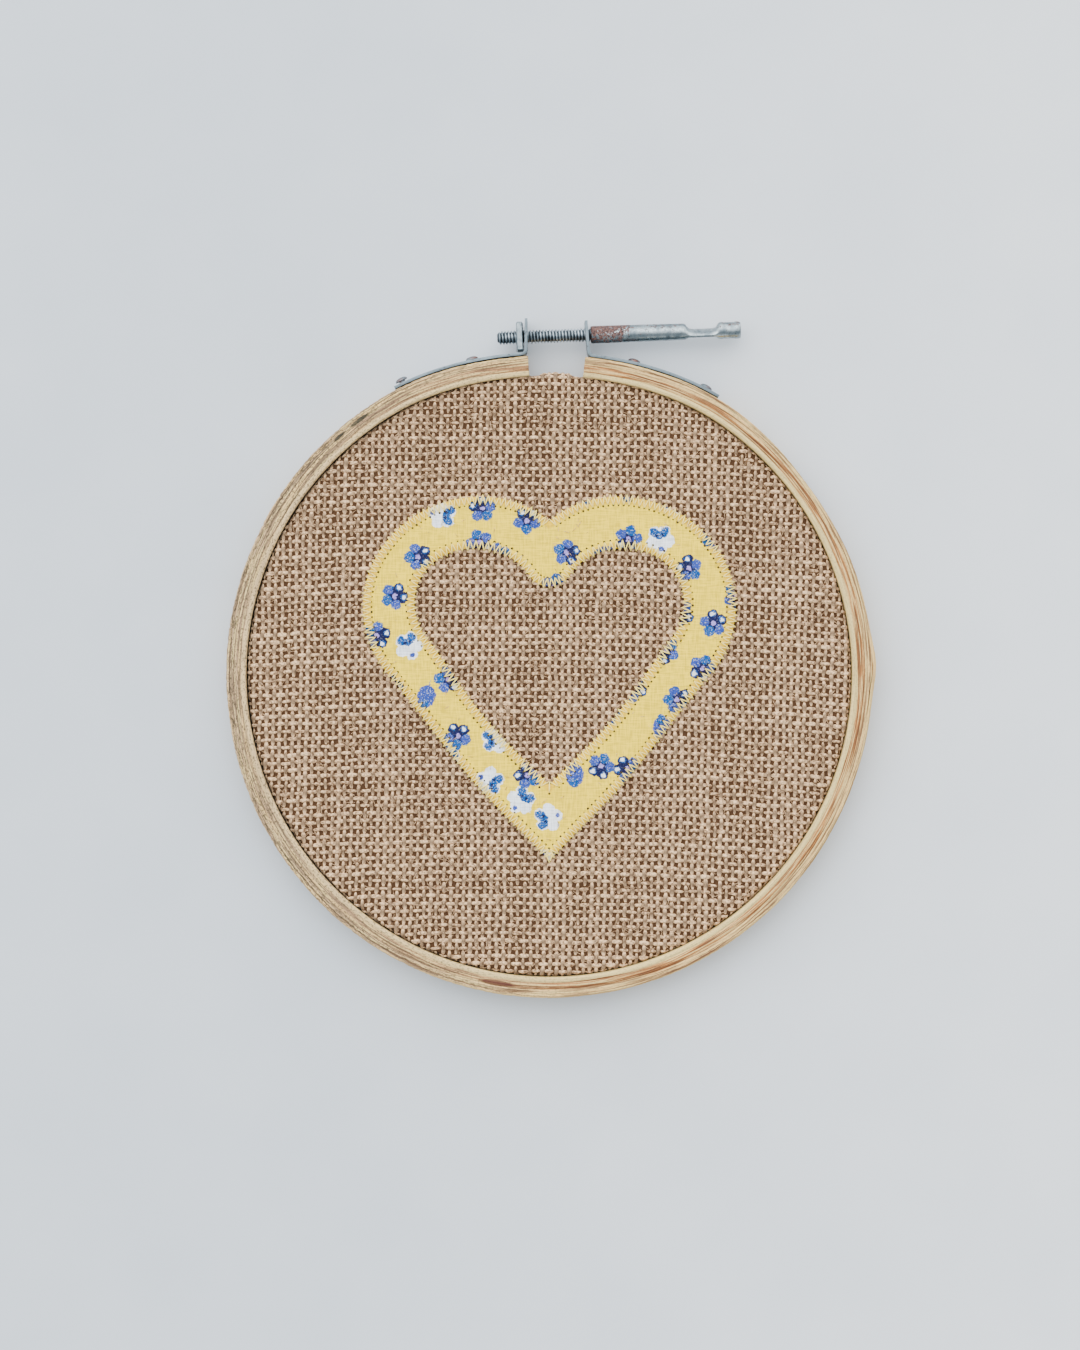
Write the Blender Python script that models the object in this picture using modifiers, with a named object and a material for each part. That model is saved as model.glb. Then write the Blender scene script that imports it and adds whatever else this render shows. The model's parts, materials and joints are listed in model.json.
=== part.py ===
"""Hoop embroidery art: burlap stretched in a wooden hoop, with a flowered cotton heart sewn on.

The part lies on its back. +Z points out of the cloth's face, +Y points to the tension screw.
Angles named "turn" are in degrees from +Y, clockwise as seen from the front, towards +X.
"""

import math

import bmesh
import bpy
from mathutils import Vector

MM = 0.001

# Gaps that touching pieces keep
REST_GAP = 0.3 * MM

# Outer hoop: a split wooden ring, six inches inside
HOOP_INNER_RADIUS = 76.2 * MM
HOOP_WALL = 5.1 * MM
HOOP_DEPTH = 10.0 * MM
HOOP_EDGE_ROUND = 0.6 * MM
LEFT_END_X = -5.1 * MM
RIGHT_END_X = 8.6 * MM
END_DIP = 1.1 * MM
END_DIP_SPAN = 28.0
WALL_CHANGES = (
    {"turn": 55.0, "spread": 14.0, "change": -0.7 * MM},
    {"turn": 88.0, "spread": 4.5, "change": 0.9 * MM},
    {"turn": 205.0, "spread": 40.0, "change": 0.2 * MM},
)
HOOP_TURN_STEP = 4.0

# Cloth: a disc, a rounded shoulder and a skirt that hangs between the hoops
CLOTH_THICK = 1.2 * MM
CLOTH_TOP = 8.8 * MM
CLOTH_TRIM = 0.4 * MM
CLOTH_SHOULDER = 1.5 * MM
CLOTH_RELEASE = 3.5
CLOTH_TURN_STEP = 3.0

# Inner hoop: a closed ring under the cloth
RING_OUTER_RADIUS = 73.4 * MM
RING_WALL = 3.4 * MM
RING_EDGE_ROUND = 0.6 * MM

# Heart band sewn on the cloth
BAND_THICK = 1.0 * MM
BAND_HALF_WIDTH = 6.3 * MM
BAND_UNEVEN = 0.5 * MM
BAND_UNEVEN_LENGTH = 52.0 * MM
LOBE_RADIUS = 21.5 * MM
LOBE_X = 18.5 * MM
LOBE_Y = 17.0 * MM
TIP_Y = -38.0 * MM
SIDE_BOW = 1.6 * MM
LOBE_STEPS = 22
SIDE_STEPS = 8

# Tabs: a strap bent round the hoop's end and up into a flange
TAB_THICK = 0.7 * MM
TAB_WIDTH = 8.0 * MM
TAB_BEND = 1.3 * MM
TAB_STEP = 2.0
LEFT_TAB = {"end_turn": -28.4, "foot_x": -5.85 * MM, "top": (-5.85 * MM, 89.5 * MM)}
RIGHT_TAB = {"end_turn": 31.4, "foot_x": 10.0 * MM, "top": (9.25 * MM, 88.95 * MM)}

# Rivets that hold the straps to the wood
RIVET_HEAD_RADIUS = 1.6 * MM
RIVET_HEAD_HIGH = 0.8 * MM
RIVET_SHANK_RADIUS = 0.8 * MM
RIVET_DEPTH = 3.0 * MM
RIVETS = (
    {"name": "rivet_left_end", "turn": -26.7, "lift": 0.5 * MM},
    {"name": "rivet_left_near", "turn": -13.8, "lift": 0.0},
    {"name": "rivet_right_near", "turn": 15.2, "lift": 0.0},
    {"name": "rivet_right_end", "turn": 28.7, "lift": 0.0},
)

# Tension screw, measured along its axis from the middle of the nut
AXIS_X = -7.45 * MM
AXIS_Y = 85.13 * MM
AXIS_RISE = 1.95
THREAD_RADIUS = 1.75 * MM
THREAD_ROOT = 1.38 * MM
THREAD_PITCH = 0.8 * MM
ROD_START = -5.7 * MM
ROD_CHAMFER = 0.35 * MM
GRIP_START = 17.95 * MM
TENON_RADIUS = 1.2 * MM
TENON_LENGTH = 4.8 * MM
HOLE_RADIUS = 2.15 * MM
NUT_SIDE = 7.2 * MM
NUT_THICK = 1.7 * MM
NUT_CHAMFER = 0.3 * MM

# Grip tube: its sections, with the distance from its start, the size across the flat and through
# the flat, and the roll of that flat
GRIP_SECTIONS = (
    {"at": 0.0, "wide": 4.05, "thin": 4.05},
    {"at": 0.3, "wide": 4.40, "thin": 4.40},
    {"at": 12.0, "wide": 4.34, "thin": 4.34},
    {"at": 23.4, "wide": 4.16, "thin": 4.16},
    {"at": 24.6, "wide": 4.40, "thin": 2.70},
    {"at": 26.2, "wide": 4.70, "thin": 1.80},
    {"at": 30.2, "wide": 4.70, "thin": 1.80},
    {"at": 31.8, "wide": 4.50, "thin": 2.90},
    {"at": 32.6, "wide": 4.40, "thin": 4.20},
    {"at": 37.3, "wide": 4.50, "thin": 4.30},
    {"at": 37.9, "wide": 3.70, "thin": 3.60},
)
GRIP_FLAT_ROLL = -66.0

ROUND_SIDES = 16
THREAD_SIDES = 12
COLLECTION_NAME = "hoop_embroidery_art"


def smooth_step(value):
    """Ease from 0 to 1 while the value goes from 0 to 1."""
    value = min(max(value, 0.0), 1.0)
    return value * value * (3.0 - 2.0 * value)


def end_turn(end_x):
    """Turn of one of the hoop's cut ends."""
    return math.degrees(math.asin(end_x / HOOP_INNER_RADIUS))


LEFT_END_TURN = end_turn(LEFT_END_X)
RIGHT_END_TURN = end_turn(RIGHT_END_X)


def signed_turn(turn):
    """The same turn between -180 and 180."""
    return (turn + 180.0) % 360.0 - 180.0


def distance_from_gap(turn):
    """Degrees of wood between a turn and the nearer cut end, negative inside the gap."""
    turn = signed_turn(turn)
    return max(turn - RIGHT_END_TURN, LEFT_END_TURN - turn)


def inner_radius(turn):
    """Inner radius of the outer hoop, whose ends are drawn inwards."""
    pull = smooth_step(1.0 - distance_from_gap(turn) / END_DIP_SPAN)
    return HOOP_INNER_RADIUS - END_DIP * pull


def outer_radius(turn):
    """Outer radius of the outer hoop, with its lap and its thinner stretch."""
    wall = HOOP_WALL
    for place in WALL_CHANGES:
        away = signed_turn(turn - place["turn"]) / place["spread"]
        wall += place["change"] * math.exp(-away * away)
    return inner_radius(turn) + wall


# The origin is at the middle of the whole part's box, on its back
HOOP_X = -(outer_radius(90.0) - outer_radius(-90.0)) / 2.0
HOOP_Y = -(LEFT_TAB["top"][1] - outer_radius(180.0)) / 2.0
HOOP_MIDDLE = Vector((HOOP_X, HOOP_Y, 0.0))
MID_DEPTH = HOOP_DEPTH / 2.0


def at_turn(turn, radius, height=0.0):
    """World point at a turn and a radius round the hoop's middle."""
    angle = math.radians(turn)
    return HOOP_MIDDLE + Vector((radius * math.sin(angle), radius * math.cos(angle), height))


def linear(hex_colour):
    """Linear colour of an sRGB hex value."""
    channels = [int(hex_colour[place:place + 2], 16) / 255.0 for place in (1, 3, 5)]
    values = [c / 12.92 if c <= 0.04045 else ((c + 0.055) / 1.055) ** 2.4 for c in channels]
    return (*values, 1.0)


def finish(name, hex_colour, roughness, metallic=0.0):
    """Material of one sub-part."""
    material = bpy.data.materials.new(name)
    material.use_nodes = True
    shader = material.node_tree.nodes["Principled BSDF"]
    shader.inputs["Base Color"].default_value = linear(hex_colour)
    shader.inputs["Roughness"].default_value = roughness
    shader.inputs["Metallic"].default_value = metallic
    return material


def start_scene():
    """Empty the scene and make the collections for the parts and the cutters."""
    for item in list(bpy.data.objects):
        bpy.data.objects.remove(item, do_unlink=True)
    parts = bpy.data.collections.new(COLLECTION_NAME)
    cutters = bpy.data.collections.new("cutters")
    for group in (parts, cutters):
        bpy.context.scene.collection.children.link(group)
    return parts, cutters


PARTS, CUTTERS = start_scene()


def add_object(name, mesh, material=None, group=PARTS):
    """Link a mesh as a named object with its material."""
    item = bpy.data.objects.new(name, mesh)
    if material:
        mesh.materials.append(material)
    group.objects.link(item)
    return item


def shade_round(mesh, angle=35.0):
    """Smooth shading with sharp edges past an angle."""
    mesh.shade_smooth()
    mesh.set_sharp_from_angle(angle=math.radians(angle))


def add_outline(name, loops, thickness, height, material, closed=True):
    """A mesh from flat outlines: closed ones are filled and thick, an open one is a ribbon."""
    curve = bpy.data.curves.new(name + "_outline", "CURVE")
    curve.dimensions = "2D"
    curve.fill_mode = "BOTH" if closed else "NONE"
    curve.extrude = thickness / 2.0
    for loop in loops:
        spline = curve.splines.new("POLY")
        spline.points.add(len(loop) - 1)
        for point, place in zip(spline.points, loop):
            point.co = (place[0], place[1], 0.0, 1.0)
        spline.use_cyclic_u = closed
    outline = bpy.data.objects.new(name + "_outline", curve)
    outline.location = (0.0, 0.0, height)
    PARTS.objects.link(outline)
    bpy.context.view_layer.update()
    evaluated = outline.evaluated_get(bpy.context.evaluated_depsgraph_get())
    mesh = bpy.data.meshes.new_from_object(evaluated)
    place = outline.matrix_world.copy()
    bpy.data.objects.remove(outline, do_unlink=True)
    shape = bmesh.new()
    shape.from_mesh(mesh)
    bmesh.ops.remove_doubles(shape, verts=shape.verts, dist=0.00001)
    shape.to_mesh(mesh)
    shape.free()
    mesh.name = name
    item = add_object(name, mesh, material)
    item.matrix_world = place
    return item


def add_turned(name, profile, sides, material, closed=False):
    """Turn a profile of (radius, height) pairs, listed down its outer side, about Z."""
    mesh = bpy.data.meshes.new(name)
    points = [(radius, 0.0, height) for radius, height in profile]
    edges = [(place, place + 1) for place in range(len(points) - 1)]
    if closed:
        edges.append((len(points) - 1, 0))
    mesh.from_pydata(points, edges, [])
    item = add_object(name, mesh, material)
    screw = item.modifiers.new("turn", "SCREW")
    screw.axis = "Z"
    screw.angle = math.tau
    screw.steps = sides
    screw.render_steps = sides
    screw.use_merge_vertices = True
    screw.merge_threshold = 0.00001
    screw.use_smooth_shade = True
    return item


def arc(centre, radius, start, stop, steps):
    """Points of an arc, its angles in degrees from the first axis."""
    points = []
    for step in range(steps + 1):
        angle = math.radians(start + (stop - start) * step / steps)
        points.append((centre[0] + radius * math.cos(angle), centre[1] + radius * math.sin(angle)))
    return points


def drill(item, name, place, direction, radius, length):
    """Cut a round hole centred on a place, along a direction."""
    mesh = bpy.data.meshes.new(name)
    shape = bmesh.new()
    bmesh.ops.create_cone(shape, cap_ends=True, segments=ROUND_SIDES, radius1=radius,
                          radius2=radius, depth=length)
    shape.to_mesh(mesh)
    shape.free()
    cutter = add_object(name, mesh, group=CUTTERS)
    cutter.location = place
    cutter.rotation_euler = direction.to_track_quat("Z", "Y").to_euler()
    cutter.hide_render = True
    cutter.display_type = "WIRE"
    hole = item.modifiers.new(name, "BOOLEAN")
    hole.operation = "DIFFERENCE"
    hole.solver = "EXACT"
    hole.object = cutter


def radial(turn):
    """Unit vector that points outwards at a turn."""
    return (at_turn(turn, 1.0) - HOOP_MIDDLE).normalized()


def build_outer_hoop():
    """Split ring of bent plywood, its outline drawn once and given the hoop's depth."""
    steps = round((360.0 - RIGHT_END_TURN + LEFT_END_TURN) / HOOP_TURN_STEP)
    last = 360.0 + LEFT_END_TURN
    turns = [RIGHT_END_TURN + (last - RIGHT_END_TURN) * step / steps for step in range(steps + 1)]
    outside = [at_turn(turn, outer_radius(turn)) for turn in turns]
    inside = [at_turn(turn, inner_radius(turn)) for turn in reversed(turns)]
    wood = finish("outer_hoop_plywood", "#D9B98C", 0.6)
    hoop = add_outline("outer_hoop", [outside + inside], HOOP_DEPTH, MID_DEPTH, wood)
    edge = hoop.modifiers.new("rounded_edges", "BEVEL")
    edge.width = HOOP_EDGE_ROUND
    edge.segments = 2
    edge.limit_method = "ANGLE"
    edge.angle_limit = math.radians(50.0)
    for rivet in RIVETS:
        surface = at_turn(rivet["turn"], outer_radius(rivet["turn"]), MID_DEPTH)
        drill(hoop, "wood_hole_" + rivet["name"], surface, radial(rivet["turn"]),
              RIVET_SHANK_RADIUS + REST_GAP, 2.0 * (RIVET_DEPTH + REST_GAP))


def build_inner_hoop():
    """Plain closed ring that the cloth is stretched over, its four edges rounded."""
    inner = RING_OUTER_RADIUS - RING_WALL
    top = CLOTH_TOP - CLOTH_THICK - REST_GAP
    soft = RING_EDGE_ROUND
    profile = arc((RING_OUTER_RADIUS - soft, top - soft), soft, 90.0, 0.0, 2)
    profile += arc((RING_OUTER_RADIUS - soft, soft), soft, 0.0, -90.0, 1)
    profile += arc((inner + soft, soft), soft, -90.0, -180.0, 1)
    profile += arc((inner + soft, top - soft), soft, 180.0, 90.0, 1)
    wood = finish("inner_hoop_plywood", "#D6B88E", 0.6)
    ring = add_turned("inner_hoop", profile, round(360.0 / HOOP_TURN_STEP), wood, closed=True)
    ring.location = HOOP_MIDDLE


def cloth_pull(turn):
    """How far the hoop's ends press the cloth in, none in the middle of the gap."""
    away = distance_from_gap(turn)
    if away >= 0.0:
        return HOOP_INNER_RADIUS - inner_radius(turn)
    return END_DIP * (1.0 - smooth_step((-away - 1.0) / (CLOTH_RELEASE - 1.0)))


def build_cloth():
    """Burlap disc with its shoulder and skirt, pressed in where the hoop's ends are."""
    face = HOOP_INNER_RADIUS - REST_GAP
    back = RING_OUTER_RADIUS + REST_GAP
    under = CLOTH_TOP - CLOTH_THICK
    bend = RING_EDGE_ROUND + REST_GAP
    profile = [(0.0, CLOTH_TOP)]
    profile += arc((face - CLOTH_SHOULDER, CLOTH_TOP - CLOTH_SHOULDER), CLOTH_SHOULDER,
                   90.0, 0.0, 3)
    profile += [(face, CLOTH_TRIM), (back, CLOTH_TRIM)]
    profile += arc((back - bend, under - bend), bend, 0.0, 90.0, 2)
    profile.append((0.0, under))
    burlap = finish("burlap", "#A98E70", 0.95)
    turned = add_turned("cloth_round", profile, round(360.0 / CLOTH_TURN_STEP), burlap)
    bpy.context.view_layer.update()
    evaluated = turned.evaluated_get(bpy.context.evaluated_depsgraph_get())
    mesh = bpy.data.meshes.new_from_object(evaluated)
    bpy.data.objects.remove(turned, do_unlink=True)
    mesh.name = "cloth"
    for point in mesh.vertices:
        radius = math.hypot(point.co.x, point.co.y)
        share = (radius - back) / (face - back)
        if share > 0.0:
            turn = math.degrees(math.atan2(point.co.x, point.co.y))
            factor = 1.0 - cloth_pull(turn) * min(share, 1.0) / radius
            point.co.x *= factor
            point.co.y *= factor
    cloth = bpy.data.objects.new("cloth", mesh)
    cloth.location = HOOP_MIDDLE
    PARTS.objects.link(cloth)


def heart_middle_line():
    """Right half of the band's middle line, from the notch over the lobe down to the tip."""
    notch = math.degrees(math.acos(-LOBE_X / LOBE_RADIUS))
    to_tip = Vector((-LOBE_X, TIP_Y - LOBE_Y))
    lean = math.degrees(math.atan2(to_tip.y, to_tip.x))
    leave = lean + math.degrees(math.acos(LOBE_RADIUS / to_tip.length))
    lobe = arc((LOBE_X, LOBE_Y), LOBE_RADIUS, notch, leave, LOBE_STEPS)
    points = [Vector(point) for point in lobe]
    start = points[-1]
    side = Vector((0.0, TIP_Y)) - start
    outward = Vector((-side.y, side.x)).normalized()
    for step in range(1, SIDE_STEPS + 1):
        share = step / SIDE_STEPS
        bow = SIDE_BOW * math.sin(math.pi * share) * (1.0 - share)
        points.append(start + side * share + outward * bow)
    return points


def band_edge(points, sign):
    """One edge of the half band, at its own uneven distance from the middle line."""
    edge = []
    run = 0.0
    for place, point in enumerate(points):
        ahead = points[min(place + 1, len(points) - 1)]
        behind = points[max(place - 1, 0)]
        along = (ahead - behind).normalized()
        outward = Vector((-along.y, along.x))
        run += (point - behind).length
        uneven = BAND_UNEVEN * math.sin(math.tau * run / BAND_UNEVEN_LENGTH + sign)
        edge.append(point + outward * sign * (BAND_HALF_WIDTH + uneven))
    return edge


def swing(start, stop, steps):
    """Vectors that swing from one vector towards another and keep the first one's length."""
    length = start.length
    first = start.normalized()
    last = stop.normalized()
    return [first.slerp(last, step / steps) * length for step in range(steps + 1)]


def meet_middle(inside, outside):
    """Point where the line from one point to another crosses the heart's line of symmetry."""
    share = inside.x / (inside.x - outside.x)
    return inside + (outside - inside) * share


def full_loop(half):
    """Mirror a half edge whose first and last points lie on the line of symmetry."""
    mirrored = [Vector((-point.x, point.y)) for point in reversed(half[1:-1])]
    return [point + HOOP_MIDDLE.xy for point in half + mirrored]


def heart_loops():
    """Outer and inner edge of the heart band."""
    middle = heart_middle_line()
    outer = band_edge(middle, 1.0)
    crossing = next(place for place, point in enumerate(outer) if point.x > 0.0)
    first = meet_middle(outer[crossing], outer[crossing - 1])
    tip = meet_middle(outer[-1], outer[-1] + (outer[-1] - outer[-2]) * 20.0)
    outer_half = [first] + outer[crossing:] + [tip]
    inner = band_edge(middle, -1.0)
    last = next(place for place in range(len(inner) - 1, 0, -1) if inner[place].x > 0.0)
    inner_tip = meet_middle(inner[last], inner[last + 1])
    centre = middle[0]
    reach = inner[0] - centre
    down = Vector((0.0, -reach.length))
    rounded = [centre + step for step in swing(down, reach, 4)]
    inner_half = rounded[:-1] + inner[:last + 1] + [inner_tip]
    return full_loop(outer_half), full_loop(inner_half)


def build_applique():
    """Heart band of flowered cotton that lies on the cloth."""
    cotton = finish("flowered_cotton", "#EFDF8E", 0.9)
    height = CLOTH_TOP + REST_GAP + BAND_THICK / 2.0
    add_outline("applique", list(heart_loops()), BAND_THICK, height, cotton)


def strap_radius(turn):
    """Radius of the middle of a strap's thickness."""
    return outer_radius(turn) + REST_GAP + TAB_THICK / 2.0


def tab_path(tab):
    """Middle line of a tab: round the hoop, through the bend and up to the flange's top."""
    side = 1.0 if tab["foot_x"] > 0.0 else -1.0
    near = math.degrees(math.asin(tab["foot_x"] / strap_radius(LEFT_END_TURN)))
    foot = at_turn(near, strap_radius(near))
    top = HOOP_MIDDLE + Vector((*tab["top"], 0.0))
    along = (at_turn(near + side, strap_radius(near + side)) - foot).normalized()
    up = (top - foot).normalized()
    half = along.angle(up) / 2.0
    setback = TAB_BEND / math.tan(half)
    centre = foot + (along + up).normalized() * TAB_BEND / math.sin(half)
    start = foot + along * setback - centre
    stop = foot + up * setback - centre
    bend = [centre + step for step in swing(start, stop, 5)]
    first = near + side * math.degrees(setback / strap_radius(near)) * 1.2
    steps = round(abs(tab["end_turn"] - first) / TAB_STEP)
    turns = [tab["end_turn"] + (first - tab["end_turn"]) * step / steps
             for step in range(steps + 1)]
    return [at_turn(turn, strap_radius(turn)) for turn in turns] + bend + [top]


def build_tab(name, tab):
    """Galvanised strap and flange of one side, drilled for its rivets and for the screw."""
    steel = finish(name + "_steel", "#B9C0C4", 0.4, 1.0)
    strap = add_outline(name, [tab_path(tab)], TAB_WIDTH, MID_DEPTH, steel, closed=False)
    thick = strap.modifiers.new("sheet", "SOLIDIFY")
    thick.thickness = TAB_THICK
    thick.offset = 0.0
    thick.use_even_offset = True
    for rivet in RIVETS:
        if rivet["turn"] * tab["end_turn"] > 0.0:
            middle = at_turn(rivet["turn"], strap_radius(rivet["turn"]), MID_DEPTH)
            drill(strap, "strap_hole_" + rivet["name"], middle, radial(rivet["turn"]),
                  RIVET_SHANK_RADIUS + REST_GAP, 4.0 * TAB_THICK)
    reach = (tab["foot_x"] - AXIS_X) / math.cos(math.radians(AXIS_RISE))
    drill(strap, "screw_hole_" + name, SCREW_MIDDLE + SCREW_LINE * reach, SCREW_LINE,
          HOLE_RADIUS, 6.0 * TAB_THICK)


def build_rivets():
    """Domed rivets, each with a shank through the strap into the wood."""
    steel = finish("rivet_steel", "#A9B0B4", 0.45, 1.0)
    seat = REST_GAP * 2.0 + TAB_THICK
    for rivet in RIVETS:
        base = seat + rivet["lift"]
        profile = [
            (0.0, base + RIVET_HEAD_HIGH),
            (RIVET_HEAD_RADIUS * 0.5, base + RIVET_HEAD_HIGH * 0.88),
            (RIVET_HEAD_RADIUS * 0.86, base + RIVET_HEAD_HIGH * 0.5),
            (RIVET_HEAD_RADIUS, base + RIVET_HEAD_HIGH * 0.12),
            (RIVET_HEAD_RADIUS * 0.94, base),
            (RIVET_SHANK_RADIUS, base),
            (RIVET_SHANK_RADIUS, -RIVET_DEPTH),
            (0.0, -RIVET_DEPTH),
        ]
        item = add_turned(rivet["name"], profile, THREAD_SIDES, steel)
        item.location = at_turn(rivet["turn"], outer_radius(rivet["turn"]), MID_DEPTH)
        item.rotation_euler = radial(rivet["turn"]).to_track_quat("Z", "Y").to_euler()


def build_nut():
    """Square nut that lies against the left flange."""
    mesh = bpy.data.meshes.new("square_nut")
    shape = bmesh.new()
    bmesh.ops.create_cube(shape, size=1.0)
    bmesh.ops.scale(shape, verts=shape.verts, vec=(NUT_SIDE, NUT_SIDE, NUT_THICK))
    shape.to_mesh(mesh)
    shape.free()
    nut = add_object("square_nut", mesh, finish("nut_steel", "#B4BBBF", 0.4, 1.0))
    nut.location = SCREW_MIDDLE
    nut.rotation_euler = SCREW_LINE.to_track_quat("Z", "Y").to_euler()
    edge = nut.modifiers.new("chamfer", "BEVEL")
    edge.width = NUT_CHAMFER
    edge.segments = 1
    drill(nut, "nut_hole", SCREW_MIDDLE, SCREW_LINE, HOLE_RADIUS, 3.0 * NUT_THICK)


def add_screw_axis():
    """Empty on the screw's axis that the turning pieces are parented to."""
    empty = bpy.data.objects.new("screw_axis", None)
    empty.location = SCREW_MIDDLE
    empty.rotation_euler = SCREW_LINE.to_track_quat("Z", "Y").to_euler()
    PARTS.objects.link(empty)
    return empty


def build_rod(axis):
    """Threaded rod, its thread as even ridges, with a tenon that enters the grip tube."""
    thread_stop = GRIP_START - REST_GAP
    profile = [
        (0.0, GRIP_START + TENON_LENGTH),
        (TENON_RADIUS, GRIP_START + TENON_LENGTH),
        (TENON_RADIUS, thread_stop),
    ]
    ridges = int((thread_stop - ROD_START - ROD_CHAMFER) / THREAD_PITCH)
    for ridge in range(ridges):
        crest = thread_stop - THREAD_PITCH * (ridge + 0.5)
        profile.append((THREAD_ROOT, crest + THREAD_PITCH * 0.5))
        profile.append((THREAD_RADIUS, crest))
    profile.append((THREAD_ROOT, thread_stop - THREAD_PITCH * ridges))
    profile.append((THREAD_ROOT - ROD_CHAMFER, ROD_START))
    profile.append((0.0, ROD_START))
    steel = finish("screw_steel", "#8E9599", 0.4, 1.0)
    rod = add_turned("screw_rod", profile, THREAD_SIDES, steel)
    rod.parent = axis


def build_grip(axis):
    """Grip tube, a loft of round and flattened sections with a bore for the rod's tenon."""
    shape = bmesh.new()
    roll = math.radians(GRIP_FLAT_ROLL)
    rings = []
    for section in GRIP_SECTIONS:
        ring = []
        for side in range(ROUND_SIDES):
            angle = math.tau * side / ROUND_SIDES
            wide = section["wide"] * MM / 2.0 * math.cos(angle)
            thin = section["thin"] * MM / 2.0 * math.sin(angle)
            across = wide * math.cos(roll) - thin * math.sin(roll)
            through = wide * math.sin(roll) + thin * math.cos(roll)
            ring.append(shape.verts.new((across, through, GRIP_START + section["at"] * MM)))
        rings.append(ring)
    for ring, following in zip(rings, rings[1:]):
        for side in range(ROUND_SIDES):
            after = (side + 1) % ROUND_SIDES
            shape.faces.new((ring[side], ring[after], following[after], following[side]))
    shape.faces.new(list(reversed(rings[0])))
    shape.faces.new(rings[-1])
    mesh = bpy.data.meshes.new("grip_tube")
    shape.to_mesh(mesh)
    shape.free()
    shade_round(mesh)
    grip = add_object("grip_tube", mesh, finish("grip_steel", "#A7ADB0", 0.35, 1.0))
    grip.parent = axis
    bore_length = 2.0 * (TENON_LENGTH + REST_GAP)
    drill(grip, "grip_bore", SCREW_MIDDLE + SCREW_LINE * GRIP_START, SCREW_LINE,
          TENON_RADIUS + REST_GAP, bore_length)


SCREW_MIDDLE = HOOP_MIDDLE + Vector((AXIS_X, AXIS_Y, MID_DEPTH))
SCREW_LINE = Vector((math.cos(math.radians(AXIS_RISE)), math.sin(math.radians(AXIS_RISE)), 0.0))


def main():
    """Build every piece of the part."""
    build_outer_hoop()
    build_inner_hoop()
    build_cloth()
    build_applique()
    build_tab("tab_left", LEFT_TAB)
    build_tab("tab_right", RIGHT_TAB)
    build_rivets()
    build_nut()
    axis = add_screw_axis()
    build_rod(axis)
    build_grip(axis)


main()
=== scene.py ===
"""Looks of the hoop embroidery art: burlap stretched in a wooden hoop, with a flowered cotton heart sewn on.

Everything is in metres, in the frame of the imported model. Angles named "turn" are in degrees from +Y,
clockwise as seen from the front. Colours are sRGB hex values, as they would be picked from a maker's card.
"""
import json
import math

import bmesh
import bpy
import numpy as np
from bpy.props import FloatProperty, FloatVectorProperty, IntProperty, PointerProperty
from bpy.types import Operator, Panel, PropertyGroup
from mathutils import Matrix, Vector


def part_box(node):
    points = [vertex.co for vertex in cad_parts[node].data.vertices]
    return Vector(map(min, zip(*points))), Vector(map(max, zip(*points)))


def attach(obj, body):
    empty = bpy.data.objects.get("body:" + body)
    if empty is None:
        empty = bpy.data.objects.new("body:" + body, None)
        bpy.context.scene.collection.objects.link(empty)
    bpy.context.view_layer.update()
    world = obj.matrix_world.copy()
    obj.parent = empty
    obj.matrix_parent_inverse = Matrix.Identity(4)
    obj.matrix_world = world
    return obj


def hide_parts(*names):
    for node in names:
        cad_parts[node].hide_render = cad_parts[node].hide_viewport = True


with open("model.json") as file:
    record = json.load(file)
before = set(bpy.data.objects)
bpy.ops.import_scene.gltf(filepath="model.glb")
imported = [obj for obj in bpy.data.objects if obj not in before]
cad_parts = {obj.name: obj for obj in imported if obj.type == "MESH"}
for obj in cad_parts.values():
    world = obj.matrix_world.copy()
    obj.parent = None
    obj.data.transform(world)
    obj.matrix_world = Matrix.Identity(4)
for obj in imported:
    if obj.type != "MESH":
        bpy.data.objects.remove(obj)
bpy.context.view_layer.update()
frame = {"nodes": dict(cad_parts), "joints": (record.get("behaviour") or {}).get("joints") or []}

bl_info = {
    "name": "Hoop embroidery art",
    "version": (1, 0, 0),
    "blender": (4, 5, 0),
    "location": "3D view, sidebar, Hoop Art",
    "description": "Dresses an embroidery hoop in wood, burlap, cotton, thread and steel",
    "category": "Add Mesh",
}

MM = 0.001
TAU = math.tau

# Places read from the frame
RING_LOW, RING_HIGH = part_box("inner_hoop")
MIDDLE = Vector(((RING_LOW.x + RING_HIGH.x) / 2.0, (RING_LOW.y + RING_HIGH.y) / 2.0, 0.0))
RING_RADIUS = (RING_HIGH.x - RING_LOW.x) / 2.0
RING_DEPTH = RING_HIGH.z
HOOP_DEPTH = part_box("outer_hoop")[1].z
CLOTH_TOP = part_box("cloth")[1].z
SCREW_MIDDLE = Vector(frame["joints"][0]["pos_m"])
SCREW_LINE = Vector(frame["joints"][0]["axis"]).normalized()

# Outline of the outer hoop, as the solids have it
HOOP_INNER_RADIUS = 76.2 * MM
HOOP_WALL = 5.1 * MM
LEFT_END_ASIDE = 5.1 * MM
RIGHT_END_ASIDE = 8.6 * MM
LEFT_END_TURN = -math.degrees(math.asin(LEFT_END_ASIDE / HOOP_INNER_RADIUS))
RIGHT_END_TURN = math.degrees(math.asin(RIGHT_END_ASIDE / HOOP_INNER_RADIUS))
END_DIP = 1.1 * MM
END_DIP_SPAN = 28.0
WALL_CHANGES = (
    {"turn": 55.0, "spread": 14.0, "change": -0.7 * MM},
    {"turn": 88.0, "spread": 4.5, "change": 0.9 * MM},
    {"turn": 205.0, "spread": 40.0, "change": 0.2 * MM},
)

# The open glue line at the lap, in degrees
CRACK_TURN = 92.6
CRACK_HALF_LENGTH = 5.2
CRACK_FADE = 1.6

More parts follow.
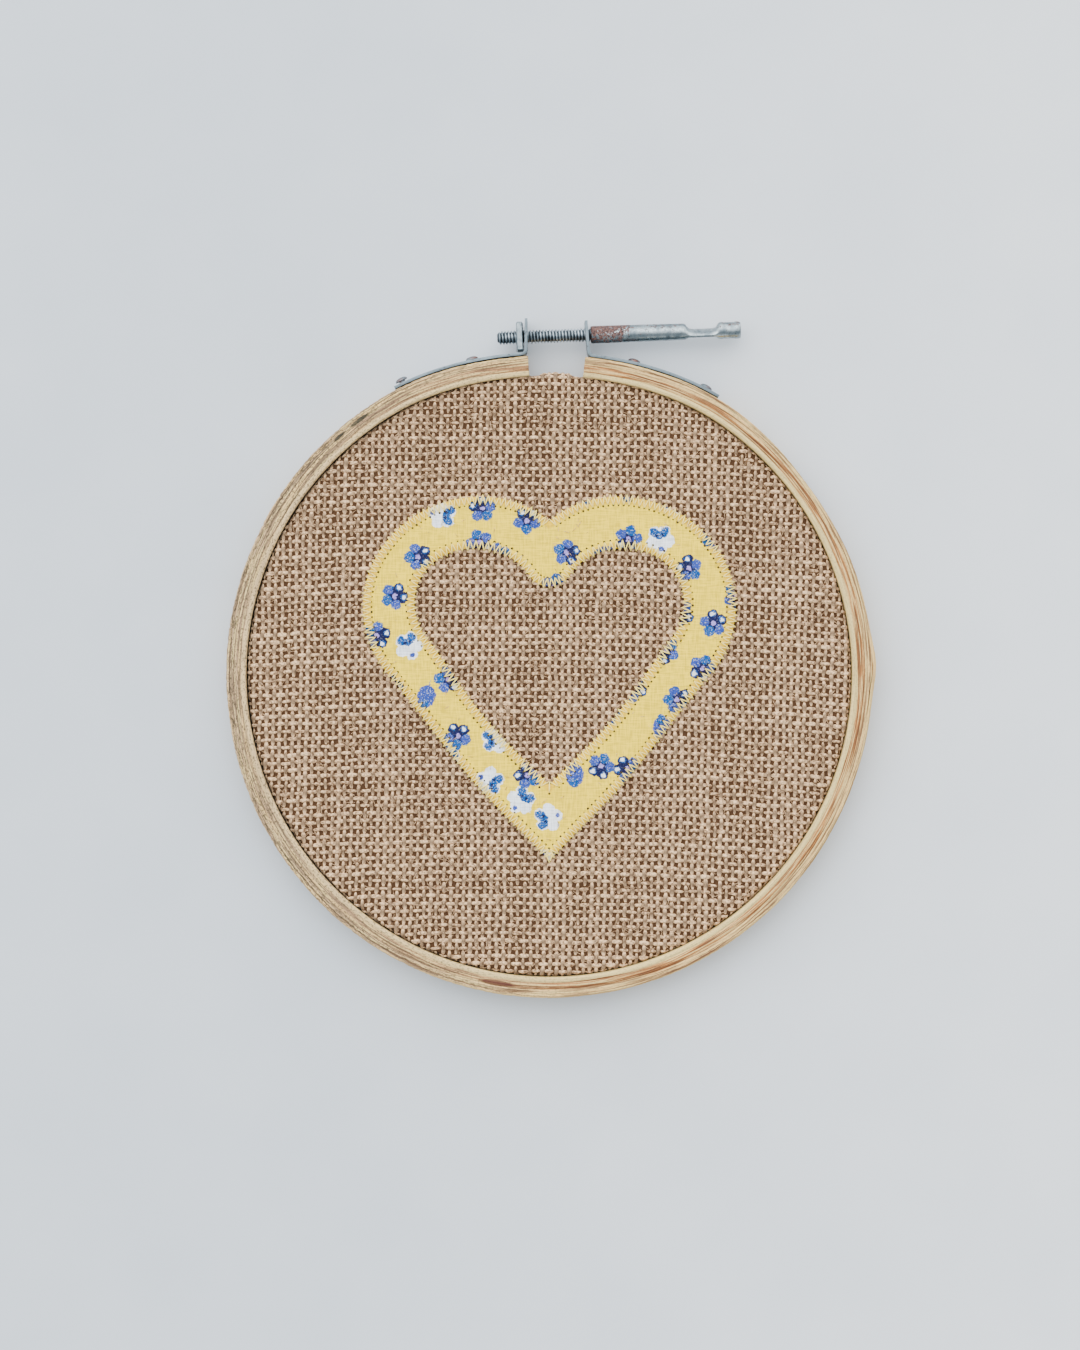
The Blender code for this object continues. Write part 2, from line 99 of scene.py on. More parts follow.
# Waves of the grain (along, across, down) and their detail: drift, bands, lines, dashes and specks
GRAIN_WAVES = (
    ((60.0, 150.0, 120.0), 3.0), ((38.0, 1300.0, 500.0), 3.0), ((64.0, 2700.0, 1300.0), 3.0),
    ((420.0, 2900.0, 1500.0), 2.0), ((1500.0, 2600.0, 1500.0), 2.0),
)

# The weave: yarn spacings, how far off square it lies, and the bend of its cross yarns
WARP_SPACING = 1.69 * MM
WEFT_SPACING = 1.92 * MM
WEAVE_LEAN = 0.022
WEAVE_SLOPE = 0.012
WEAVE_BOW = 0.48

# Where the cloth bends down between the hoops
FLAT_RADIUS = RING_RADIUS + 1.3 * MM
SHOULDER = 0.9 * MM
SKIRT_ROOM = HOOP_INNER_RADIUS - RING_RADIUS - 0.6 * MM
CLOTH_RELEASE = 3.5

# Middle line of the heart band, round the hoop's middle
BAND_HALF_WIDTH = 6.3 * MM
BAND_UNEVEN = 0.5 * MM
BAND_UNEVEN_LENGTH = 52.0 * MM
LOBE_RADIUS = 21.5 * MM
LOBE_X = 18.5 * MM
LOBE_Y = 17.0 * MM
TIP_Y = -38.0 * MM
SIDE_BOW = 1.6 * MM
LOBE_STEPS = 88
SIDE_STEPS = 48
COTTON_TOP = CLOTH_TOP + 0.62 * MM

# Kinds of printed motif, by chance from 0 to 1, and which of five petals an ink is on, by angle
BLUE_FLOWER = (0.0, 0.62)
WHITE_FLOWER = (0.62, 0.86)
BUD = (0.86, 2.0)
ALL_ROUND = (0.0, 99.0)
FIRST_TWO = (0.0, TAU * 0.4)
THIRD = (TAU * 0.4, TAU * 0.6)
FOURTH = (TAU * 0.6, TAU * 0.8)
FIFTH = (TAU * 0.8, 99.0)

# The grip tube: distance from its start, size across its flat and size through it, in mm
GRIP_SECTIONS = (
    (0.0, 3.95, 3.95), (0.12, 4.25, 4.25), (0.4, 4.40, 4.40), (6.0, 4.38, 4.38), (12.0, 4.34, 4.34),
    (18.0, 4.24, 4.24), (23.3, 4.16, 4.14), (23.9, 4.20, 3.85), (24.5, 4.40, 2.55), (25.0, 4.58, 1.98),
    (26.2, 4.72, 1.76), (28.5, 4.72, 1.72), (30.8, 4.70, 1.82), (31.6, 4.58, 2.20), (32.2, 4.46, 3.75),
    (32.6, 4.46, 4.26), (33.1, 4.50, 4.34), (33.6, 4.30, 4.12), (36.2, 4.34, 4.14), (36.7, 4.54, 4.34),
    (37.3, 4.52, 4.32), (37.8, 4.10, 3.95), (37.9, 3.40, 3.30), (37.6, 2.90, 2.80), (36.4, 2.60, 2.50),
)
GRIP_STEP = 0.5
GRIP_FLAT_ROLL = -66.0
# Share of its flatness that the neck lies to one side, where the press met the tube
NECK_SHIFT = -0.17
GRIP_START = 17.95 * MM
ROD_START = -5.7 * MM

# How far the camera stands off the hoop's middle line, where the lamp hangs, and the sky's bright side
CAMERA_ASIDE = Vector((-2.34 * MM, -0.23 * MM, 0.0))
WINDOW_PLACE = (-0.35, 0.9, 1.25)
BRIGHT_SIDE = (-0.3, 0.85, 0.35)


def colour(hex_value):
    """Linear colour of an sRGB hex value."""
    channels = [int(hex_value[place:place + 2], 16) / 255.0 for place in (1, 3, 5)]
    values = [c / 12.92 if c <= 0.04045 else ((c + 0.055) / 1.055) ** 2.4 for c in channels]
    return (*values, 1.0)


def hue(name, description, hex_value):
    """Colour property with its default."""
    return FloatVectorProperty(name=name, description=description, subtype="COLOR", size=4,
                               min=0.0, max=1.0, default=colour(hex_value))


def length(name, description, default):
    """Length property with its default, in metres."""
    return FloatProperty(name=name, description=description, subtype="DISTANCE", unit="LENGTH",
                         precision=5, min=0.0, default=default)


class HOOPART_PG_wood(PropertyGroup):
    """The two wooden rings."""

    groove: length("Groove", "Depth of the glue lines between plies", 0.07 * MM)
    crack_depth: length("Crack depth", "Depth of the open glue line at the lap", 0.7 * MM)
    wobble: length("Wobble", "Unevenness that sanding left", 0.07 * MM)
    pits: length("Pits", "Roughness of the weathered outer edge", 0.07 * MM)
    edge_round: length("Edge round", "Radius of the sanded edges", 0.6 * MM)
    ring_wall: length("Inner ring wall", "Wall of the ring under the cloth", 3.4 * MM)
    inner_ply: hue("Inner ply", "Pale ply next to the cloth, bright side", "#E0C581")
    middle_ply: hue("Middle ply", "Orange-brown heartwood ply, bright side", "#B2763A")
    outer_ply: hue("Outer ply", "Pale outer ply, bright side", "#E3BB78")
    inner_ply_dull: hue("Inner ply, dull", "Pale ply on the duller side", "#DABA86")
    middle_ply_dull: hue("Middle ply, dull", "Middle ply on the duller side", "#B4936C")
    outer_ply_dull: hue("Outer ply, dull", "Outer ply on the duller side", "#BC9C74")
    streak: hue("Streak", "Dark streaks in the bright side's plies", "#58301A")
    streak_dull: hue("Streak, dull", "Dark streaks on the duller side", "#63503A")
    glue_line: hue("Glue line", "Dark line between the outer plies", "#5E4028")
    # Pores, and also the painted shade on the hoop's inner wall where the cloth meets it.
    pore_and_gap_shade: hue("Pore", "Short dark pores", "#3C3222")
    grey_mark: hue("Grey mark", "Grey-green stain near the left strap", "#1A1E18")
    red_mark: hue("Red mark", "Reddish streak at the bottom", "#4C2018")


class HOOPART_PG_burlap(PropertyGroup):
    """The stretched jute cloth."""

    warp_spacing: length("Warp spacing", "Distance between the upright yarns", WARP_SPACING)
    weft_spacing: length("Weft spacing", "Distance between the cross yarns", WEFT_SPACING)
    half_width: length("Half width", "Half the width of a yarn", 0.46 * MM)
    half_height: length("Half height", "Half the height of a yarn", 0.34 * MM)
    crimp: length("Crimp", "How far a yarn swings over and under", 0.29 * MM)
    thickness: length("Thickness", "From the lowest yarn to the highest", 1.2 * MM)
    cut_radius: length("Cut radius", "Radius that the cloth is trimmed to", 81.6 * MM)
    slub: FloatProperty(name="Slub", description="How uneven a yarn's thickness is", subtype="FACTOR",
                        min=0.0, max=1.0, default=0.3)
    wander: length("Wander", "How far a yarn strays from its line", 0.24 * MM)
    light: hue("Light yarn", "Palest jute", "#F4CC9C")
    dark: hue("Dark yarn", "Darkest jute", "#6C4C32")
    # Painted shade: the colour of the weave's holes and of the yarns where they dip.
    deep: hue("Between yarns", "What shows through the weave's holes", "#453020")
    fibres: IntProperty(name="Stray fibres", description="How many short fibres stand off the cloth",
                        default=3400, min=0)


class HOOPART_PG_cotton(PropertyGroup):
    """The flowered heart and its stitches."""

    thickness: length("Thickness", "Thickness of the cotton", 0.32 * MM)
    ground: hue("Ground", "Pale yellow of the cotton", "#F8D426")
    azure: hue("Azure", "Bright blue of the petals' rims", "#01488C")
    periwinkle: hue("Periwinkle", "Soft blue of the petals", "#2F4496")
    navy: hue("Navy", "Dark blue rings on two petals", "#0E1440")
    white: hue("White", "White petals and highlights", "#EEF2F6")
    lilac: hue("Lilac", "Middle of the blue flowers", "#9A84CC")
    motif_spacing: length("Motif spacing", "Average distance between motifs", 10.6 * MM)
    thread: hue("Thread", "Yellow zigzag thread", "#FCE588")
    # Painted shade of the needle holes.
    hole: hue("Needle hole", "Dark gold of the pricked cotton", "#2C2009")
    zigzag_pitch: length("Zigzag pitch", "Length of one full zigzag", 1.4 * MM)
    zigzag_width: length("Zigzag width", "Width of the zigzag", 2.5 * MM)
    thread_radius: length("Thread radius", "Radius of the sewing thread", 0.16 * MM)


class HOOPART_PG_steel(PropertyGroup):
    """Straps, rivets, nut, screw and grip."""

    zinc: hue("Zinc", "Blue-grey zinc plate", "#A0AAAC")
    dull_zinc: hue("Dull zinc", "Weathered zinc plate", "#6C787E")
    screw: hue("Screw", "Plate of the threaded rod", "#C2CDD3")
    grime: hue("Grime", "Dirt in corners and between threads", "#1C1F22")
    rust: hue("Rust", "Pinkish-brown rust on the grip", "#75534A")
    dark_rust: hue("Dark rust", "Old rust in the pits", "#3A2C2B")
    crest_radius: length("Crest radius", "Radius of the thread's crests", 1.75 * MM)
    root_radius: length("Root radius", "Radius of the thread's roots", 1.26 * MM)
    pitch: length("Pitch", "Distance between threads", 0.8 * MM)


class HOOPART_PG_stage(PropertyGroup):
    """Camera, floor and light."""

    lens: FloatProperty(name="Lens", description="Focal length in millimetres", default=85.0, min=1.0)
    frame_high: length("Frame height", "What the camera sees from top to bottom", 339.1 * MM)
    floor: hue("Floor", "Pale grey painted board", "#C4CCD3")
    # Paler paint for the mottling, and painted light on the board's right side.
    pale_floor_and_painted_light: hue("Pale floor", "Paler paint of the board's mottling and right side", "#DDE1E4")
    sky: hue("Sky", "Soft light from above and from the upper left", "#F4F7FB")
    dim_sky: hue("Dim sky", "Dimmer side of the room, lower right", "#757B80")
    low_sky: hue("Low sky", "Pale wall near the horizon, below the dim side", "#C2C7CB")
    sky_strength: FloatProperty(name="Sky strength", description="Strength of the light all round",
                                default=3.57, min=0.0)
    key_power: FloatProperty(name="Key power", description="Power of the big soft lamp, in watts",
                             default=11.5, min=0.0)


def set_inputs(tree, node, inputs):
    """Link a node's inputs to the nodes or sockets given for them, and set other values."""
    for key, value in inputs.items():
        if isinstance(value, bpy.types.Node):
            value = next(output for output in value.outputs if output.enabled)
        if isinstance(value, bpy.types.NodeSocket):
            tree.links.new(value, node.inputs[key])
        else:
            node.inputs[key].default_value = value


def add_node(tree, kind, inputs=None, **settings):
    """Add a node with its settings and inputs."""
    node = tree.nodes.new(kind)
    for name, value in settings.items():
        setattr(node, name, value)
    set_inputs(tree, node, inputs or {})
    return node


def calc(tree, operation, *values, **settings):
    """Sum on numbers."""
    return add_node(tree, "ShaderNodeMath", dict(enumerate(values)), operation=operation, **settings)


def product(tree, *values):
    """All the values multiplied together."""
    result = values[0]
    for value in values[1:]:
        result = calc(tree, "MULTIPLY", result, value)
    return result


def calc_vector(tree, operation, *values, **inputs):
    """Sum on vectors."""
    return add_node(tree, "ShaderNodeVectorMath", {**dict(enumerate(values)), **inputs}, operation=operation)


def size_of(tree, vector):
    """How long a vector is."""
    return calc_vector(tree, "LENGTH", vector).outputs["Value"]


def point(tree, x=0.0, y=0.0, z=0.0):
    """Vector from its three parts."""
    return add_node(tree, "ShaderNodeCombineXYZ", {"X": x, "Y": y, "Z": z})


def parts_of(tree, vector):
    """A vector's three parts."""
    return tuple(add_node(tree, "ShaderNodeSeparateXYZ", {0: vector}).outputs)


def remap(tree, value, low, high, to_low=0.0, to_high=1.0):
    """Value carried over from one range to another, and held within it."""
    return add_node(tree, "ShaderNodeMapRange", {0: value, 1: low, 2: high, 3: to_low, 4: to_high})


def mix(tree, part, one, other):
    """Colour between two others."""
    return add_node(tree, "ShaderNodeMix", {0: part, 6: one, 7: other}, data_type="RGBA")


def noise(tree, vector, scale, detail=2.0, roughness=0.5):
    """Soft random clouds."""
    return add_node(tree, "ShaderNodeTexNoise", {"Vector": vector, "Scale": scale, "Detail": detail,
                                                 "Roughness": roughness})


def stretched(tree, vector, scale, **more):
    """Coordinates scaled by a factor for each axis."""
    return add_node(tree, "ShaderNodeMapping", {"Vector": vector, "Scale": scale, **more})


def colour_ramp(tree, value, stops):
    """Colours that follow a value, each stop a place from 0 to 1 and a colour with its alpha."""
    ramp = add_node(tree, "ShaderNodeValToRGB", {0: value})
    elements = ramp.color_ramp.elements
    for position, _ in stops[1:-1]:
        elements.new(position)
    for element, (position, tint) in zip(elements, stops):
        element.position = position
        element.color = tint
    return ramp


def object_place(tree):
    """Coordinates in the frame."""
    return add_node(tree, "ShaderNodeTexCoord").outputs["Object"]


def attribute(tree, name, output="Fac"):
    """A piece's own named attribute."""
    return add_node(tree, "ShaderNodeAttribute", attribute_name=name).outputs[output]


def new_material(name, **values):
    """Material with a Principled shader, whose even values are set on its own sockets."""
    material = bpy.data.materials.new(name)
    material.use_nodes = True
    tree = material.node_tree
    named = {socket.replace("_", " "): value for socket, value in values.items()}
    set_inputs(tree, tree.nodes["Principled BSDF"], named)
    return material, tree


def finish_material(material, shade, height=None, strength=0.0, depth=0.0, **others):
    """Give a material's shader its colour, the fine relief of a height and its other inputs."""
    tree = material.node_tree
    inputs = {"Base Color": shade, **others}
    if height is not None:
        inputs["Normal"] = add_node(tree, "ShaderNodeBump", {"Height": height, "Strength": strength,
                                                             "Distance": depth})
    set_inputs(tree, tree.nodes["Principled BSDF"], inputs)
    return material


def new_tree(name, floats, ints=(), flags=()):
    """Geometry Nodes tree with named inputs and a material, and the sockets of its group input."""
    tree = bpy.data.node_groups.new(name, "GeometryNodeTree")
    sockets = [("Geometry", "Geometry"), ("Material", "Material")]
    for kind, labels in (("Float", floats), ("Int", ints), ("Bool", flags)):
        sockets += [(label, kind) for label in labels]
    for label, kind in sockets:
        tree.interface.new_socket(label, in_out="INPUT", socket_type="NodeSocket" + kind)
    tree.interface.new_socket("Geometry", in_out="OUTPUT", socket_type="NodeSocketGeometry")
    return tree, add_node(tree, "NodeGroupInput").outputs


def geo(tree, kind, **inputs):
    """Add a geometry node. Its inputs are named with _ for a space."""
    named = {socket.replace("_", " "): value for socket, value in inputs.items()}
    return add_node(tree, "GeometryNode" + kind, named)


def random_number(tree, low, high, seed, **inputs):
    """Random number for each point, always the same for a seed."""
    return add_node(tree, "FunctionNodeRandomValue", {2: low, 3: high, "Seed": seed, **inputs},
                    data_type="FLOAT")


def store_number(tree, geometry, name, value):
    """Keep a number for each point as a named attribute."""
    return add_node(tree, "GeometryNodeStoreNamedAttribute",
                    {"Geometry": geometry, "Name": name, "Value": value}, data_type="FLOAT")


def close_tree(tree, geometry, given):
    """End of every tree: smooth faces, real meshes in place of instances, and the material."""
    smooth = geo(tree, "SetShadeSmooth", Geometry=geometry)
    real = geo(tree, "RealizeInstances", Geometry=smooth)
    painted = geo(tree, "SetMaterial", Geometry=real, Material=given["Material"])
    add_node(tree, "NodeGroupOutput", {0: painted})
    return tree


def hold(name, mesh):
    """Object that shows a mesh."""
    holder = bpy.data.objects.new(name, mesh)
    bpy.context.scene.collection.objects.link(holder)
    return holder


def bake(holder, name, keep_layers):
    """Plain mesh of an object as its modifiers make it. The object is removed."""
    depsgraph = bpy.context.evaluated_depsgraph_get()
    mesh = bpy.data.meshes.new_from_object(holder.evaluated_get(depsgraph),
                                           preserve_all_data_layers=keep_layers, depsgraph=depsgraph)
    bpy.data.objects.remove(holder, do_unlink=True)
    mesh.name = name
    return mesh


def grow(name, tree, values, points=(), edges=()):
    """Run a tree on a mesh of points and return the result as a plain mesh."""
    start = bpy.data.meshes.new(name)
    start.from_pydata([tuple(place) for place in points], edges, [])
    holder = hold(name, start)
    modifier = holder.modifiers.new(name, "NODES")
    modifier.node_group = tree
    for socket in tree.interface.items_tree:
        if socket.name in values:
            modifier[socket.identifier] = values[socket.name]
    return bake(holder, name, True)


def add_piece(name, mesh, body, nodes=()):
    """Show a mesh as a piece that rides on a body and stands for CAD nodes."""
    piece = hold(name, mesh)
    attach(piece, body)
    if nodes:
        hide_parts(*nodes)
    return piece


def coordinates(mesh):
    """All the mesh's points as an array."""
    flat = np.empty(len(mesh.vertices) * 3, np.float32)
    mesh.vertices.foreach_get("co", flat)
    return flat.reshape(-1, 3).astype(float)


def set_coordinates(mesh, points):
    """Move all the mesh's points."""
    mesh.vertices.foreach_set("co", np.ascontiguousarray(points, np.float32).ravel())
    mesh.update()


def store_values(mesh, name, kind, field, values):
    """Keep a value for each point as a named attribute."""
    layer = mesh.attributes.new(name, kind, "POINT")
    layer.data.foreach_set(field, np.ascontiguousarray(values, np.float32).ravel())


def skin(name, rows, material, closed, angle):
    """Skin over rings of points, each joined to the next. It closes on itself, or has a cap at both ends."""
    count, sides = rows.shape[:2]
    faces = []
    for row in range(count if closed else count - 1):
        here = row * sides
        ahead = (row + 1) % count * sides
        for side in range(sides):
            after = (side + 1) % sides
            faces.append((here + side, here + after, ahead + after, ahead + side))
    if not closed:
        faces.append(tuple(range(sides - 1, -1, -1)))
        faces.append(tuple(range((count - 1) * sides, count * sides)))
    mesh = bpy.data.meshes.new(name)
    mesh.from_pydata(rows.reshape(-1, 3).tolist(), [], faces)
    face_outwards(mesh)
    mesh.materials.append(material)
    mesh.shade_smooth()
    mesh.set_sharp_from_angle(angle=math.radians(angle))
    return mesh


def face_outwards(mesh):
    """Turn all the faces outwards."""
    shape = bmesh.new()
    shape.from_mesh(mesh)
    bmesh.ops.recalc_face_normals(shape, faces=shape.faces)
    shape.to_mesh(mesh)
    shape.free()


def matrix_to(place, direction=None):
    """Matrix that moves a mesh to a place, its Z turned to a direction."""
    turn = (direction or Vector((0.0, 0.0, 1.0))).to_track_quat("Z", "Y").to_matrix().to_4x4()
    turn.translation = place
    return turn


def smooth_step(values):
    """Ease from 0 to 1."""
    values = np.clip(values, 0.0, 1.0)
    return values * values * (3.0 - 2.0 * values)


def signed_turn(turn):
    """The same turn between -180 and 180."""
    return (turn + 180.0) % 360.0 - 180.0


def distance_from_gap(turn):
    """Degrees of wood between a turn and the nearer cut end, negative inside the gap."""
    turn = signed_turn(turn)
    return np.maximum(turn - RIGHT_END_TURN, LEFT_END_TURN - turn)


def inner_radius(turn):
    """Inner radius of the outer hoop, whose ends are drawn inwards."""
    return HOOP_INNER_RADIUS - END_DIP * smooth_step(1.0 - distance_from_gap(turn) / END_DIP_SPAN)


def hoop_wall(turn):
    """Wall of the outer hoop, with its lap and its thinner stretch."""
    wall = HOOP_WALL + 0.0 * turn
    for place in WALL_CHANGES:
        away = signed_turn(turn - place["turn"]) / place["spread"]
        wall = wall + place["change"] * np.exp(-away * away)
    return wall


def arc(centre, radius, start, stop, steps):
    """Points of an arc, its angles in degrees from the first axis."""
    angles = np.radians(np.linspace(start, stop, steps + 1))
    return [(centre[0] + radius * math.cos(a), centre[1] + radius * math.sin(a)) for a in angles]


def on_hoop(turn, radius, height):
    """Points in the frame at turns, radii and heights round the hoop's middle."""
    angle = np.radians(turn)
    x = MIDDLE.x + radius * np.sin(angle)
    y = MIDDLE.y + radius * np.cos(angle)
    return np.stack(np.broadcast_arrays(x, y, height), -1)


def bare_plywood(name, wood, wall, marks=()):
    """Birch plywood, bent, sanded and left bare. On edge it shows pale and warm plies, glue lines, long
    streaks and short dark pores; it is matt, paler on the right and greyer on the left."""
    material, tree = new_material(name, Roughness=0.66, IOR=1.5, Specular_IOR_Level=0.3)
    grain = attribute(tree, "grain", "Vector")
    place = object_place(tree)
    drift, bands, lines, dashes, specks = (
        noise(tree, stretched(tree, grain, scale), 1.0, detail, 0.6) for scale, detail in GRAIN_WAVES)
    _, depth, height = parts_of(tree, grain)
    moved = calc(tree, "MULTIPLY_ADD", drift, 1.1 * MM, depth)
    across = remap(tree, moved, 0.55 * MM, wall + 0.55 * MM)
    plies = []
    for inner, middle, outer in ((wood.inner_ply, wood.middle_ply, wood.outer_ply),
                                 (wood.inner_ply_dull, wood.middle_ply_dull, wood.outer_ply_dull)):
        stops = ((0.0, inner, 0.25), (0.235, inner, 0.25), (0.275, middle, 1.0), (0.56, middle, 1.0),
                 (0.64, outer, 0.9), (0.83, outer, 1.0), (0.86, wood.glue_line, 0.9), (0.89, outer, 0.9),
                 (1.0, outer, 0.9))
        # The ramp's alpha holds how streaky each ply is.
        plies.append(colour_ramp(tree, across, [(at, (*tint[:3], streaky)) for at, tint, streaky in stops]))
    streaky = plies[0].outputs["Alpha"]
    bright = remap(tree, parts_of(tree, place)[0], -65.0 * MM, 25.0 * MM, -0.25, 0.95)
    bright = calc(tree, "MULTIPLY_ADD", noise(tree, place, 28.0), 0.4, bright, use_clamp=True)
    plain = mix(tree, bright, plies[1], plies[0])
    streak = mix(tree, bright, wood.streak_dull, wood.streak)
    dull = remap(tree, bright, 0.0, 1.0, 0.95, 0.3)
    pitted = product(tree, dull, remap(tree, across, 0.3, 0.85, 0.25, 1.0))
    # Each layer: its wave, where it starts and is full, how strong it gets, where it lies and its colour.
    layers = (
        (bands, 0.50, 0.58, 0.62, streaky, streak), (bands, 0.46, 0.40, 0.85, streaky, wood.outer_ply),
        (lines, 0.52, 0.575, 0.85, streaky, streak), (lines, 0.47, 0.41, 0.75, streaky, wood.inner_ply),
        (dashes, 0.53, 0.58, 0.9, pitted, wood.pore_and_gap_shade), (specks, 0.54, 0.60, 0.8, dull, wood.pore_and_gap_shade),
    )
    shade = plain
    for wave, none, full, most, where, tint in layers:
        mask = product(tree, remap(tree, wave, none, full, 0.0, most), where)
        shade = mix(tree, mask, shade, tint)
    # The outer wall is the face of the veneer, much calmer than its edge.
    calm = remap(tree, depth, wall - 0.3 * MM, wall - 0.05 * MM, 0.0, 0.6)
    shade = mix(tree, calm, shade, plain)
    for mark in marks:
        away = calc_vector(tree, "SUBTRACT", grain, mark["middle"])
        away = size_of(tree, calc_vector(tree, "DIVIDE", away, mark["spread"]))
        ragged = calc(tree, "MULTIPLY_ADD", lines, 1.4, away)
        shade = mix(tree, remap(tree, ragged, 1.85, 1.5, 0.0, 0.88), shade, mark["tint"])
    # Painted shade where the cloth meets the hoop's inner wall: the wall's top is darkened, less so on the
    # paler right side.
    inside = remap(tree, height, HOOP_DEPTH - 0.6 * MM, HOOP_DEPTH - 1.2 * MM)
    gap_shade = product(tree, remap(tree, depth, 0.25 * MM, 0.1 * MM), inside, dull)
    shade = mix(tree, gap_shade, shade, wood.pore_and_gap_shade)
    return finish_material(material, shade, calc(tree, "ADD", dashes, lines), 0.6, 0.2 * MM)


def ply_profile(wall, depth, edge_round, lines):
    """Closed section of a ring, as (across, up, line) with grooves at its glue lines on both faces."""
    half = 0.1 * MM
    far = wall - edge_round
    high = depth - edge_round
    numbered = list(enumerate(lines))

    def corner(x, y, start):
        return [(*place, -1) for place in arc((x, y), edge_round, start, start - 90.0, 4)]

    def grooves(height, ordered, way):
        return [(place + shift, height, mark) for line, place in ordered
                for shift, mark in ((-way * half, -1), (0.0, line), (way * half, -1))]

    return (corner(edge_round, high, 180.0) + grooves(depth, numbered, 1.0)
            + corner(far, high, 90.0) + [(wall, depth / 2.0, -1)]
            + corner(far, edge_round, 0.0) + grooves(0.0, numbered[::-1], -1.0)
            + corner(edge_round, edge_round, -90.0) + [(0.0, depth / 2.0, -1)])


def ring_of_wood(name, wood, material, turns, inside, walls, depth, lines, grooves):
    """Sweep a ring's section round the hoop, shrink its cut ends a little and keep the grain's run."""
    rows = []
    grain = []
    ends = (0, len(turns) - 1)
    rough = np.random.default_rng(4).normal(0.0, wood.pits, len(turns))
    for station, (turn, start, wall) in enumerate(zip(turns, inside, walls)):
        across, up, line = np.array(ply_profile(wall, depth, wood.edge_round, lines(wall))).T
        deep = np.array([0.0, *grooves(turn)])[line.astype(int) + 1]
        up = up + np.where(up > depth / 2.0, -deep, deep)
        if station in ends:
            across = wall / 2.0 + (across - wall / 2.0) * (1.0 - 0.3 * MM / wall)
            up = depth / 2.0 + (up - depth / 2.0) * (1.0 - 0.3 * MM / depth)
        wave = math.sin(turn * 0.21) + math.sin(turn * 0.083 + 1.0) + 0.6 * math.sin(turn * 0.57)
        wave = wood.wobble * wave
        high = up > depth / 2.0
        pits = np.where(high & (across > wall - 1.3 * MM), abs(rough[station]), 0.0)
        pits = pits * (1.0 if math.sin(math.radians(turn)) < -0.1 else 0.35)
        up = up - np.where(high, abs(wave) * 0.6, 0.0) - pits
        radius = start + across + np.where(across > wall / 2.0, wave * 0.5, 0.0) - pits
        rows.append(on_hoop(turn, radius, up))
        grain.append(np.stack([np.full_like(across, grain_run(turn)), across, up], -1))
    mesh = skin(name, np.array(rows), material, False, 50.0)
    store_values(mesh, "grain", "FLOAT_VECTOR", "vector", np.array(grain))
    return mesh


def grain_run(turn):
    """Length of wood from the top to a turn."""
    return math.radians(turn) * (RING_RADIUS + HOOP_WALL / 2.0)


class HOOPART_OT_make_hoops(Operator):
    """Make the split outer hoop and the ring under the cloth."""

    bl_idname = "hoop_art.make_hoops"
    bl_label = "Hoops"

    def execute(self, context):
        wood = context.scene.hoop_wood
        # Each mark: its turn, its place across the wall and its spread in mm, and its colour.
        marks = [{"middle": (grain_run(turn), across * MM, HOOP_DEPTH),
                  "spread": (along * MM, aside * MM, 3.0 * MM), "tint": tint}
                 for turn, across, along, aside, tint in (
                     (323.2, 3.5, 2.5, 0.6, wood.grey_mark), (318.6, 3.5, 1.7, 0.5, wood.grey_mark),
                     (189.5, 2.5, 4.4, 0.75, wood.red_mark))]
        turns = np.linspace(RIGHT_END_TURN, 360.0 + LEFT_END_TURN, 901)
        turns = np.concatenate([turns[:1], turns[:1] + 0.1, turns[1:-1], turns[-1:] - 0.1, turns[-1:]])

        def crack(turn):
            near = smooth_step((CRACK_HALF_LENGTH - abs(turn - CRACK_TURN)) / CRACK_FADE)
            return wood.groove + wood.crack_depth * float(near)

        mesh = ring_of_wood(
            "outer_hoop_wood", wood, bare_plywood("outer_hoop_plywood", wood, HOOP_WALL, marks), turns,
            inner_radius(turns), hoop_wall(turns), HOOP_DEPTH,
            lambda wall: (1.3 * MM, 3.15 * MM, wall - 0.95 * MM),
            lambda turn: (wood.groove, wood.groove, crack(turn)))
        add_piece("outer_hoop_wood", mesh, "hoop", ["outer_hoop"])
        joint = math.degrees(0.05 * MM / RING_RADIUS)
        turns = np.linspace(150.0 + joint, 510.0 - joint, 361)
        mesh = ring_of_wood(
            "inner_hoop_wood", wood, bare_plywood("inner_hoop_plywood", wood, wood.ring_wall), turns,
            np.full(turns.shape, RING_RADIUS - wood.ring_wall), np.full(turns.shape, wood.ring_wall),
            RING_DEPTH, lambda wall: (1.1 * MM, 2.3 * MM), lambda turn: (wood.groove, wood.groove))
        add_piece("inner_hoop_wood", mesh, "hoop", ["inner_hoop"])
        return {"FINISHED"}


def cloth_pull(turn):
    """How far the hoop's ends press the cloth in, none in the middle of the gap."""
    away = distance_from_gap(turn)
    free = END_DIP * (1.0 - smooth_step((-away - 1.0) / (CLOTH_RELEASE - 1.0)))
    return np.where(away >= 0.0, HOOP_INNER_RADIUS - inner_radius(turn), free)


def lay_on_ring(mesh, middle_height):
    """Bend flat cloth over the inner ring's edge and down between the hoops. Heights are over its middle."""
    x, y, lift = coordinates(mesh).T
    radius = np.hypot(x, y)
    past = np.clip(radius - FLAT_RADIUS, 0.0, None)
    angle = np.clip(past / SHOULDER, 0.0, math.pi / 2.0)
    down = np.clip(past - SHOULDER * math.pi / 2.0, 0.0, None)
    press = angle / (math.pi / 2.0) * cloth_pull(np.degrees(np.arctan2(x, y)))
    lift = lift * (1.0 - press / SKIRT_ROOM)
    out = np.minimum(radius, FLAT_RADIUS) + (SHOULDER + lift) * np.sin(angle) - 0.6 * press
    height = middle_height - SHOULDER + (SHOULDER + lift) * np.cos(angle) - down
    scale = out / np.maximum(radius, 1e-9)
    set_coordinates(mesh, np.stack([MIDDLE.x + x * scale, MIDDLE.y + y * scale, height], -1))


